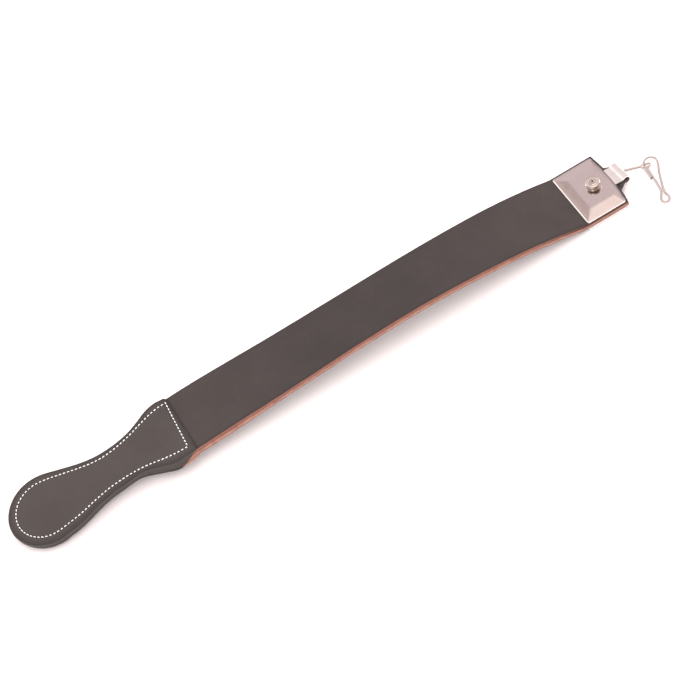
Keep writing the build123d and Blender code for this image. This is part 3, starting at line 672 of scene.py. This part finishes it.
# Part of the section each segment belongs to, in order round it:
# 0 upper face, 1 upper corners, 2 sides, 3 lower corners, 4 lower face
SECTION_PARTS = ([0] * FACE_SEGMENTS + [1] * 3 + [2] * 4 + [3] * 3
                 + [4] * FACE_SEGMENTS + [3] * 3 + [2] * 4 + [1] * 3)
# Material slot of each part (0 grain, 1 cut edge, 2 flesh), by side
PART_SLOTS = {1: (0, 0, 1, 1, 2), -1: (2, 1, 1, 0, 0)}


def skin_stations(x_start, x_end, side):
    """Section places along a skin; x_start None starts it inside the handle."""
    stations = [x_start]
    if x_start is None:
        stations = []
        distance = BACK_END
        if side > 0:
            radius = END_R - SKIN_INSET - 0.02
            stations = [X_ROOT - END_X + radius * math.cos(math.radians(a))
                        for a in range(180, 80, -5)]
            distance = ARC_JOIN - 0.35
        while distance > 1.0:
            stations.append(X_ROOT - distance)
            distance -= 2.0
        stations.append(X_ROOT)
    x = stations[-1] + STATION_STEP
    while x < x_end - STATION_STEP * 0.4:
        stations.append(x)
        x += STATION_STEP
    return stations + [x_end]


def skin_limits(distance, side):
    """Half width, centre y, bottom and top of the section, by distance into the handle."""
    if side > 0:
        low, high = LAYER_GAP / 2, HALF_STACK
    else:
        low, high = -HALF_STACK, -LAYER_GAP / 2
    if distance <= 0:
        return STRAP_W / 2, 0.0, low, high
    near, far = outline(distance)
    inset = SKIN_INSET + 0.5 * edge_inset(distance)
    inside = smooth(distance / 7)
    near = (near + inset) * inside - STRAP_W / 2 * (1 - inside)
    far = (far - inset) * inside + STRAP_W / 2 * (1 - inside)
    # the gap between the layers closes inside the handle, and the back layer thins out
    gap = LAYER_GAP / 2 * (1 - smooth(distance / 8)) + 0.01
    if side > 0:
        low = gap
    else:
        high = -gap
        low = min(low + back_step(distance) * 0.97, high - 0.12)
    return max(0.6, (far - near) / 2), (near + far) / 2, low, high


def skin_section(half, low, high, side):
    """Rounded section as (y, z) points, clockwise from the upper face's -Y end."""
    upper, lower = (OUTER_ROUND, INNER_ROUND)[::side]
    upper, lower = (min(r, half * 0.45, (high - low) * 0.4) for r in (upper, lower))
    top, bottom = high - upper, low + lower

    def corner(sign, radius, z, angles):
        return [(sign * (half - radius) + radius * math.cos(math.radians(a)),
                 z + radius * math.sin(math.radians(a))) for a in angles]

    quarters = (0.25, 0.5, 0.75, 1.0)
    return ([(u * (half - upper), high) for u in FACE_Y]
            + corner(1, upper, top, (60, 30, 0))
            + [(half, top * (1 - f) + bottom * f) for f in quarters]
            + corner(1, lower, bottom, (-30, -60))
            + [(-u * (half - lower), low) for u in FACE_Y]
            + corner(-1, lower, bottom, (-120, -150, -180))
            + [(-half, top * f + bottom * (1 - f)) for f in quarters]
            + corner(-1, upper, top, (150, 120)))


def weather(x, y, z, half, side):
    """Section point moved by the unevenness of hand-cut, used leather."""
    from_root = x - X_ROOT
    new_y = y
    if abs(y) > half - 0.6 and x > X_ROOT:
        # the cut edge wavers a little and is slightly rough
        wave = 0.2 * layered_noise((x * 0.05, 7.3 if y > 0 else -3.1, side * 2.0))
        wave += 0.05 * noise.noise(Vector((x * 0.55, z * 1.4, 3.0 * side + (5 if y > 0 else 0))))
        new_y += math.copysign(1, y) * (abs(wave) - 0.08)
    # slow, slight cupping and waves of the face
    fade = smooth((from_root - 6) / 30) * smooth((X_PLATE - 4 - x) / 30)
    new_z = z + 0.16 * fade * layered_noise((x * 0.018, y * 0.03, 1.7), octaves=2)
    if side < 0:
        # the back strap swells away from the front one beside the handle
        drop = 1.45 * smooth((from_root + 6) / 6) + 0.5 * smooth(from_root / 14)
        new_z -= drop * (1 - smooth((from_root - 14) / 66)) * (0.35 if z > -1 else 1.0)
    return new_y, new_z


def skin(name, x_start, x_end, side):
    """One length of strap as a closed solid that follows the arch, twist and handle outline."""
    stations = skin_stations(x_start, x_end, side)
    verts, rest = [], []
    last = None
    for x in stations:
        centre, along, across, normal = strap_frame(x)
        length = x if last is None else length + (centre - last).length
        last = centre
        distance = X_ROOT - x
        if distance > 0:
            centre = HANDLE_FRAME @ Vector((-distance, 0, 0))
        half, centre_y, low, high = skin_limits(distance, side)
        for y, z in skin_section(half, low, high, side):
            new_y, new_z = weather(x, y, z, half, side)
            bow = 0.0
            if x > BOW_START:
                bow = (-PLATE_SAG * (y / (STRAP_W / 2)) ** 2
                       * smooth((x - BOW_START) / (x_end - BOW_START)))
            point = centre + across * (new_y + centre_y) + normal * new_z + along * bow
            verts.append(point * MM)
            rest.append((length, y, z))
    count = len(SECTION_PARTS)
    faces = [face[::-1] for face in tube_faces(0, len(stations), count)]
    faces.append(tuple(reversed(range(count))))
    faces.append(tuple(range(len(verts) - count, len(verts))))
    slots = [PART_SLOTS[side][part] for part in SECTION_PARTS] * (len(stations) - 1) + [1, 1]
    grain = STRAP_LEATHER if side > 0 else BACK_LEATHER
    return make_object(name, verts, faces, [grain, CUT_EDGE, FLESH_SIDE], slots, rest,
                       sharp_angle=50)


def volume(mesh):
    bm = bmesh.new()
    bm.from_mesh(mesh)
    result = abs(bm.calc_volume())
    bm.free()
    return result


def cut(ob, cutter):
    """Applied boolean difference; one that took no material away is tried another way."""
    before = volume(ob.data)
    for solver, use_self in (("EXACT", False), ("EXACT", True), ("MANIFOLD", False),
                             ("FLOAT", False)):
        modifier = ob.modifiers.new("cut", "BOOLEAN")
        modifier.operation, modifier.object = "DIFFERENCE", cutter
        # guards against a Blender version that lacks this solver
        try:
            modifier.solver = solver
        except TypeError:
            ob.modifiers.clear()
            continue
        if use_self:
            modifier.use_self = True
        bpy.context.view_layer.update()
        depsgraph = bpy.context.evaluated_depsgraph_get()
        result = bpy.data.meshes.new_from_object(ob.evaluated_get(depsgraph))
        ob.modifiers.clear()
        if 0.9 * before < volume(result) < 0.999 * before:
            old = ob.data
            ob.data = result
            result.name = old.name
            bpy.data.meshes.remove(old)
            return
        bpy.data.meshes.remove(result)


def box_cutter(low, high, yaw):
    bm = bmesh.new()
    bmesh.ops.create_cube(bm, size=1.0)
    for vert in bm.verts:
        vert.co = Vector([(a + b) / 2 + c * (b - a) for a, b, c in zip(low, high, vert.co)]) * MM
    bm.transform(Matrix.Rotation(math.radians(yaw), 4, "Z"))
    mesh = bpy.data.meshes.new("cutter")
    bm.to_mesh(mesh)
    bm.free()
    ob = link_object("cutter", mesh)
    bpy.context.view_layer.update()
    return ob


def cut_recess(ob, side):
    """Shallow recess in the outer face at the clamp, turned with the bail."""
    depth, clearance, half_width = 0.86, 1, 8.2
    if side > 0:
        bottom, top = Z_RIM_FRONT - depth, Z_RIM_FRONT + clearance
    else:
        bottom, top = BACK_RISE - clearance, BACK_RISE + depth
    cutter = box_cutter((-7, -half_width, bottom), (30, half_width, top), BAIL_YAW)
    cut(ob, cutter)
    bpy.data.objects.remove(cutter)
    mark_sharp(ob.data, 50)


# (skin, CAD pieces it replaces, parts either side of its hinge, hinge x, half length of the bend)
SKINS = (
    ("handle", ("strap_handle_end", "strap_lower"), ("handle", "strap_lower"), HINGES[0], 16.5),
    ("middle", ("strap_lower", "strap_upper"), ("strap_lower", "strap_upper"), HINGES[1], 26.0),
    ("clamp", ("strap_upper", "strap_clamp_end"), ("strap_upper", "clamp"), HINGES[2], 15.5),
)
STRAP_TAIL = {1: 1.5, -1: 1.9}          # strap length past the plates, by side
# the skins meet halfway between hinges
JOINTS = [(a + b) / 2 for a, b in zip(HINGES, HINGES[1:])]

for tag, side in SIDES:
    limits = [None, *JOINTS, X_PLATE_END + STRAP_TAIL[side]]
    skins = [skin(f"{tag}_strap_skin_{row[0]}", x_start, x_end, side)
             for row, x_start, x_end in zip(SKINS, limits, limits[1:])]
    cut_recess(skins[-1], side)
    for ob, (_, pieces, parts, hinge, half) in zip(skins, SKINS):
        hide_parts(*(f"{tag}_{piece}" for piece in pieces))
        centre, along, _, _ = strap_frame(hinge)
        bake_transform(ob)


# ---------------------------------------------------------------- sewing line
def sewing_path():
    """Keyhole path in the handle's plane: out along +Y, round the end, back along -Y."""
    table = SEW_STATIONS + [(END_X - SEW_R * math.cos(ARC_START), SEW_R * math.sin(ARC_START))]
    far, near = [], []
    distance = SEW_START
    while distance < table[-1][0] - 1.5:
        centre, half = read_table(CENTRE, distance), read_table(table, distance)
        far.append((-distance, centre + half))
        if distance > SEW_START + 1.2:
            near.append((-distance, centre - half))
        distance += 0.5
    arc = [(-END_X + SEW_R * math.cos(a), END_Y + SEW_R * math.sin(a))
           for a in (math.radians(80 + 5 * i) for i in range(41))]
    return far + arc + near[::-1]


def space_evenly(points, pitch):
    """(x, y, angle) of evenly spaced stitches along a path, and the pitch that fits it."""
    lengths = [math.dist(a, b) for a, b in zip(points, points[1:])]
    total = sum(lengths)
    count = round(total / pitch)
    places = []
    for k in range(count):
        left = (k + 0.5) * total / count
        i = 0
        while i < len(lengths) - 1 and left > lengths[i]:
            left -= lengths[i]
            i += 1
        (x0, y0), (x1, y1) = points[i:i + 2]
        f = left / lengths[i]
        places.append((x0 + f * (x1 - x0), y0 + f * (y1 - y0), math.atan2(y1 - y0, x1 - x0)))
    return places, total / count


RUN = sewing_path()
# straight row across the root, between the ends of the run
ROW = [(RUN[0][0] + 1.4, RUN[0][1] + 1.7), (RUN[-1][0] - 0.2, RUN[-1][1] + 0.8)]
STITCHES, HOLES = [], []
for path in (RUN, ROW):
    places, pitch = space_evenly(path, STITCH_PITCH)
    STITCHES += places
    for x, y, angle in places:
        for sign in (-1, 1):
            HOLES.append((x + sign * math.cos(angle) * pitch / 2,
                          y + sign * math.sin(angle) * pitch / 2))
HOLES = np.array(HOLES)
RUN_GROOVE = np.array(RUN)
ROW_GROOVE = np.array([ROW[0], (ROW[0][0], ROW[1][1])])


def path_distance(points, path):
    """Distance from each point to a polyline."""
    best = np.full(len(points), 1e9)
    for start, step in zip(path[:-1], path[1:] - path[:-1]):
        t = np.clip(((points - start) @ step) / ((step ** 2).sum() + 1e-9), 0, 1)
        offset = points - (start + t[:, None] * step)
        best = np.minimum(best, (offset ** 2).sum(1))
    return np.sqrt(best)


def hole_distance(points):
    return np.sqrt(((points[:, None, :] - HOLES[None]) ** 2).sum(2)).min(1)


def bell(distance, width):
    return np.exp(-(distance / width) ** 2)


# ---------------------------------------------------------------- handle covers
COVER_COLUMNS = 84
ROOT_ROUND = 2.2        # corner radius of the cover at the root
ARC_STEPS = 66
# Shoulder from the outer face to the edge, by side: (inset, drop)
SHOULDER = {
    1: [(1.5, 0.0), (1.05, -0.05), (0.68, -0.19), (0.36, -0.42), (0.14, -0.74), (0.02, -1.1),
        (0.0, -1.3)],
    -1: [(2.0, 0.0), (1.45, -0.04), (0.95, -0.2), (0.5, -0.52), (0.2, -0.95), (0.04, -1.4),
         (0.0, -1.6)],
}
# Lower corner of the edge: (inset, height above the underside)
LOWER_CORNER = [(0.0, 0.75), (0.03, 0.45), (0.12, 0.2), (0.3, 0.03), (0.55, 0.0)]


def cover_top(points, side):
    """Height of a cover's outer face above its underside at (n, 2) handle-plane points."""
    taper = np.clip(-points[:, 0] / 8.0, 0, 1)
    taper = taper * taper * (3 - 2 * taper)
    height = COVER_T - 1.05 * (1 - taper)               # thinned towards the root
    to_seam = np.minimum(path_distance(points, RUN_GROOVE), path_distance(points, ROW_GROOVE))
    height -= 0.26 * bell(to_seam, width=0.75)          # sewing groove
    height -= 0.22 * bell(hole_distance(points), width=0.5)
    height += 0.12 * bell(to_seam - 2.2, width=1.2)     # soft swell either side of the sewing
    height += 0.28 * np.array([layered_noise((x * 0.035, y * 0.05, 3.0 * side))
                               for x, y in points])
    return height


def handle_point(x, y, height, side):
    """Mesh place and rest place of a handle-plane point above a cover's underside."""
    offset = side * (HALF_STACK + height - (0.0 if side > 0 else back_step(-x)))
    return (HANDLE_FRAME @ Vector((x, y, offset))) * MM, (X_ROOT + x, y, offset)


def cover_loop(side):
    """Closed outline from the root round by +Y, its outward normals and the row count."""
    narrowing = 0.0 if side > 0 else 1.0
    distances = [0.0, 0.12, 0.4, 0.8, 1.3, 1.8, 2.3]
    distance = 2.9
    while distance < ARC_JOIN - 0.3:
        distances.append(distance)
        distance += 0.6
    far, near = [], []
    for distance in distances:
        near_y, far_y = outline(distance)
        inset = narrowing * edge_inset(distance)
        if distance < ROOT_ROUND:
            inset += ROOT_ROUND - math.sqrt(ROOT_ROUND ** 2 - (ROOT_ROUND - distance) ** 2)
        far.append((-distance, far_y - inset))
        near.append((-distance, near_y + inset))
    radius = END_R - narrowing
    for i in range(ARC_STEPS):
        angle = math.radians(80 + 100 * i / ARC_STEPS)
        x = -END_X + radius * math.cos(angle)
        far.append((x, END_Y + radius * math.sin(angle)))
        near.append((x, END_Y - radius * math.sin(angle)))
    start, end = near[0][1], far[0][1]
    root = [(0.0, start + (end - start) * j / COVER_COLUMNS) for j in range(1, COVER_COLUMNS)]
    loop = np.array(root + far + [(-END_X - radius, END_Y)] + near[::-1])
    tangent = np.roll(loop, -1, 0) - np.roll(loop, 1, 0)
    normals = np.stack([tangent[:, 1], -tangent[:, 0]], 1)
    normals /= np.linalg.norm(normals, axis=1)[:, None]
    # hand-cut outline: a little uneven
    wobble = np.array([0.22 * layered_noise((x * 0.09, y * 0.09, 5.0 * side)) for x, y in loop])
    return loop + normals * wobble[:, None], normals, len(far)


def cover(name, side):
    loop, normals, rows = cover_loop(side)
    count = len(loop)
    verts, rest = [], []

    def put(points, heights):
        for (x, y), height in zip(points, heights):
            vert, rest_place = handle_point(x, y, height, side)
            verts.append(vert)
            rest.append(rest_place)

    for inset, drop in SHOULDER[side]:
        points = loop - normals * inset
        tops = cover_top(points if inset > 1.2 else loop - normals * 1.5, side)
        put(points, [max(top + drop * min(1.0, top / 2.2), 0.9) for top in tops])
    for inset, height in LOWER_CORNER:
        put(loop - normals * inset, [height] * count)
    rings = len(SHOULDER[side]) + len(LOWER_CORNER)
    faces = tube_faces(0, rings, count)
    slots = [0] * (3 * count) + [1] * ((rings - 4) * count)

    # outer face: rows of quads from the root to the pole of the round end
    root = COVER_COLUMNS - 1
    far = [root + i for i in range(rows)]
    near = [count - 1 - i for i in range(rows)]
    pole = root + rows
    rim = loop - normals * SHOULDER[side][0][0]
    fractions = (np.arange(1, COVER_COLUMNS) / COVER_COLUMNS)[None, :, None]
    near_rim, far_rim = rim[near[1:]][:, None], rim[far[1:]][:, None]
    inner = (near_rim + (far_rim - near_rim) * fractions).reshape(-1, 2)
    first = len(verts)
    put(inner, cover_top(inner, side))
    grid = [[near[0], *range(root), far[0]]]
    for i in range(1, rows):
        begin = first + (i - 1) * root
        grid.append([near[i], *range(begin, begin + root), far[i]])
    for a, b in zip(grid, grid[1:]):
        faces += [(a[j], a[j + 1], b[j + 1], b[j]) for j in range(COVER_COLUMNS)]
    faces += [(a, b, pole) for a, b in zip(grid[-1], grid[-1][1:])]
    slots += [0] * (len(faces) - len(slots))

    # underside: one strip across, closed at the root and the pole
    base = (rings - 1) * count
    far = [base + i for i in far]
    near = [base + i for i in near]
    faces.append((near[0], *range(base, base + root), far[0], far[1], near[1]))
    faces += [(near[i], far[i], far[i + 1], near[i + 1]) for i in range(1, rows - 1)]
    faces.append((near[-1], far[-1], base + pole))
    slots += [1] * (len(faces) - len(slots))

    ob = make_object(name, verts, faces, [HANDLE_LEATHER, COVER_EDGE], slots, rest,
                     sharp_angle=60)
    points = np.array([(x - X_ROOT, y) for x, y, _ in rest])
    to_edge = path_distance(points, np.vstack([loop, loop[:1]]))
    # masks for the painted shade at the cover's rim and round the stitch holes
    for label, values in (("hole_shade", bell(hole_distance(points), width=0.62)),
                          ("rim", np.clip(1.25 - to_edge / 3.6, 0, 1))):
        attribute = ob.data.attributes.new(label, "FLOAT", "POINT")
        attribute.data.foreach_set("value", values.astype(np.float32))
    bm = bmesh.new()
    bm.from_mesh(ob.data)
    bmesh.ops.recalc_face_normals(bm, faces=bm.faces)
    bm.to_mesh(ob.data)
    bm.free()
    return ob


for tag, side in SIDES:
    ob = cover(f"handle_{tag}_cover_leather", side)
    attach(ob, "handle")
    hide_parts(f"handle_{tag}_cover")

# ---------------------------------------------------------------- stitches
STITCH_L = 1.95
THREAD_R = 0.335
STITCH_SLANT = 4.0      # degrees off the sewing line
STITCH_RINGS = 13
THREAD_SIDES = 10


def stitches(name, side):
    """Every stitch is a short two-ply thread that dives into the leather at both ends."""
    verts, rest, faces = [], [], []
    tops = cover_top(np.array([(x, y) for x, y, _ in STITCHES]), side)
    rng = np.random.default_rng(11 + side)
    for (x, y, angle), top in zip(STITCHES, tops):
        angle += math.radians(rng.uniform(-3.5, 3.5)) + math.radians(STITCH_SLANT)
        cos, sin = math.cos(angle), math.sin(angle)
        length = STITCH_L * rng.uniform(0.92, 1.06)
        thread = THREAD_R * rng.uniform(0.95, 1.06)
        first = len(verts)
        for i in range(STITCH_RINGS):
            f = -1 + 2 * i / (STITCH_RINGS - 1)
            arch = 0.34 * (1 - abs(f) ** 2.6)
            dive = 0.42 * max(0.0, abs(f) - 0.72) / 0.28
            radius = thread * (0.62 + 0.38 * math.sqrt(max(0.0, 1 - abs(f) ** 3)))
            for j in range(THREAD_SIDES):
                turn = 2 * math.pi * j / THREAD_SIDES
                ply = radius * (1 + 0.13 * math.cos(2 * (turn - f * 2.6)))
                along, across = f * length / 2, ply * math.cos(turn)
                height = top + 0.10 + arch - dive + ply * math.sin(turn) * 0.86
                vert, rest_place = handle_point(x + along * cos - across * sin,
                                                y + along * sin + across * cos, height, side)
                verts.append(vert)
                rest.append(rest_place)
        end = len(verts)
        faces += [face[::-side] for face in tube_faces(first, STITCH_RINGS, THREAD_SIDES)]
        faces.append(tuple(range(first, first + THREAD_SIDES))[::side])
        faces.append(tuple(range(end - 1, end - 1 - THREAD_SIDES, -1))[::side])
    return make_object(name, verts, faces, [THREAD], [0] * len(faces), rest, sharp_angle=70)


for tag, side in SIDES:
    ob = stitches(f"handle_{tag}_stitches", side)
    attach(ob, "handle")
    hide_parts(f"handle_{tag}_thread")

# ---------------------------------------------------------------- parts kept from the CAD
DRESSED = (
    (PLATE, ("clamp_front_plate", "clamp_back_plate")),
    (FITTING, ("clamp_stud", "clamp_washer", "clamp_nut", "swivel_washer")),
    (BAIL, ("bail",)),
    (CATCH, ("hook_catch",)),
    (WIRE, ("swivel_link", "snap_hook_wire", "snap_hook_gate")),
    (TAB, ("hanger_tab",)),
)
for material, names in DRESSED:
    for name in names:
        mesh = NODES[name].data
        mesh.materials.clear()
        mesh.materials.append(material)
        mesh.polygons.foreach_set("material_index", np.zeros(len(mesh.polygons), np.int32))


# ---------------------------------------------------------------- stage (metres)
def make_floor(half=6, z=-0.0004):
    mesh = bpy.data.meshes.new("floor")
    corners = [(-half, -half, z), (half, -half, z), (half, half, z), (-half, half, z)]
    mesh.from_pydata(corners, [], [(0, 1, 2, 3)])
    floor = link_object("floor", mesh)
    mesh.materials.append(Material("floor_paper").surface(
        Base_Color=(0.95, 0.875, 0.872), Roughness=0.9, Specular_IOR_Level=0.05))


# Room by height, as the metal mirrors it: (position, colour)
ROOM_STOPS = [
    (0.0, (0.34, 0.27, 0.26)), (0.22, (0.52, 0.43, 0.42)), (0.4, (0.76, 0.64, 0.645)),
    (0.8, (0.73, 0.61, 0.615)), (1.0, (0.80, 0.67, 0.66)),
]
# Soft-edged cards in the room: direction, inner and outer angle from it, colour, amount
ROOM_CARDS = [
    ((0.15, -0.95, 0.25), 20, 60, (0.20, 0.15, 0.145), 0.85),       # dark side of the room
    ((-0.90, 0.1, 0.30), 8, 45, (0.30, 0.24, 0.225), 0.75),
    ((-0.28, 0.61, 0.74), 4, 13, (0.88, 0.71, 0.675), 0.9),         # dull, for the plate's bevel
    ((-0.09, 0.60, 0.795), 1.5, 6.5, (0.34, 0.26, 0.225), 0.95),
    ((0.12, 0.08, 0.985), 9, 21, (1.15, 0.98, 0.90), 1.0),          # soft box overhead
    ((0.7, -0.25, 0.66), 5, 16, (1.25, 1.12, 1.05), 0.9),
    ((-0.60, 0.58, 0.55), 7, 14, (1.5, 1.4, 1.35), 1.0),            # lights the plate's lip
    ((-0.55, -0.35, 0.76), 4, 14, (1.2, 1.05, 0.98), 0.8),
]


def make_world():
    """Separate backgrounds for lighting, for mirror reflections and for the camera."""
    world = bpy.data.worlds.new("studio")
    scene.world = world
    world.use_nodes = True
    graph = Graph(world.node_tree)
    rays = graph.node("ShaderNodeLightPath").outputs
    view = graph.node("ShaderNodeTexCoord").outputs["Generated"]

    room = graph.ramp(graph.split(view)[2], ROOM_STOPS)
    for direction, inner, outer, colour, amount in ROOM_CARDS:
        facing = graph.vector("DOT_PRODUCT", graph.vector("NORMALIZE", view)[0],
                              Vector(direction).normalized())["Value"]
        span = (math.cos(math.radians(outer)), math.cos(math.radians(inner)))
        card = graph.remap(facing, span, to=(0.0, amount), interpolation_type="SMOOTHSTEP")
        room = graph.mix(room, colour, card)

    def background(colour, strength):
        return graph.node("ShaderNodeBackground", {0: colour, 1: strength}).outputs[0]

    def choose(ray, otherwise, chosen):
        inputs = {0: rays[ray], 1: otherwise, 2: chosen}
        return graph.node("ShaderNodeMixShader", inputs).outputs[0]

    lighting = background(colour=(1.0, 0.985, 0.975), strength=1.68)
    shader = choose("Is Glossy Ray", lighting, background(room, strength=1.0))
    shader = choose("Is Camera Ray", shader, background(colour=(1, 1, 1), strength=1.1))
    graph.node("ShaderNodeOutputWorld", {0: shader})


CENTRE_X = (CAD_BOX[0][0] + CAD_BOX[1][0]) / 2


def area_light(name, offset, size, power, colour):
    """Rectangle light aimed at the middle of the product, unseen in reflections."""
    light = bpy.data.lights.new(name, "AREA")
    light.shape = "RECTANGLE"
    light.size, light.size_y = size
    light.energy, light.color = power, colour
    ob = link_object(name, light)
    target = Vector((CENTRE_X, 0, 0))
    ob.location = (CENTRE_X + offset[0], offset[1], offset[2])
    ob.rotation_mode = "QUATERNION"
    ob.rotation_quaternion = (ob.location - target).to_track_quat("Z", "Y")
    ob.visible_glossy = False


def make_camera():
    data = bpy.data.cameras.new("camera")
    data.sensor_width = 36.0
    data.lens = 138.38
    data.clip_start, data.clip_end = 0.05, 50
    camera = link_object("camera", data)
    right = (0.8546416099739, -0.4647728200913, -0.2314604592702)
    up = (0.5068658220120, 0.6501630172380, 0.5660168632577)
    back = (-0.1125822231851, -0.6010609592382, 0.7912338253022)
    turn = Matrix((right, up, back)).transposed().to_4x4()
    camera.matrix_world = Matrix.Translation((-0.41477, -1.0925705, 1.4456358)) @ turn
    scene.camera = camera


make_floor()
make_world()
area_light("top_soft", offset=(0.1, 0.02, 1.7), size=(1.8, 1.5), power=7.0,
           colour=(1.0, 0.99, 0.98))
area_light("front_fill", offset=(0.2, -1.5, 0.9), size=(1.2, 0.8), power=3.5,
           colour=(1.0, 0.98, 0.97))
make_camera()
scene.view_settings.view_transform = "Standard"
scene.view_settings.look = "None"
scene.view_settings.exposure = 0.0
scene.view_settings.gamma = 1.0

bpy.context.view_layer.update()
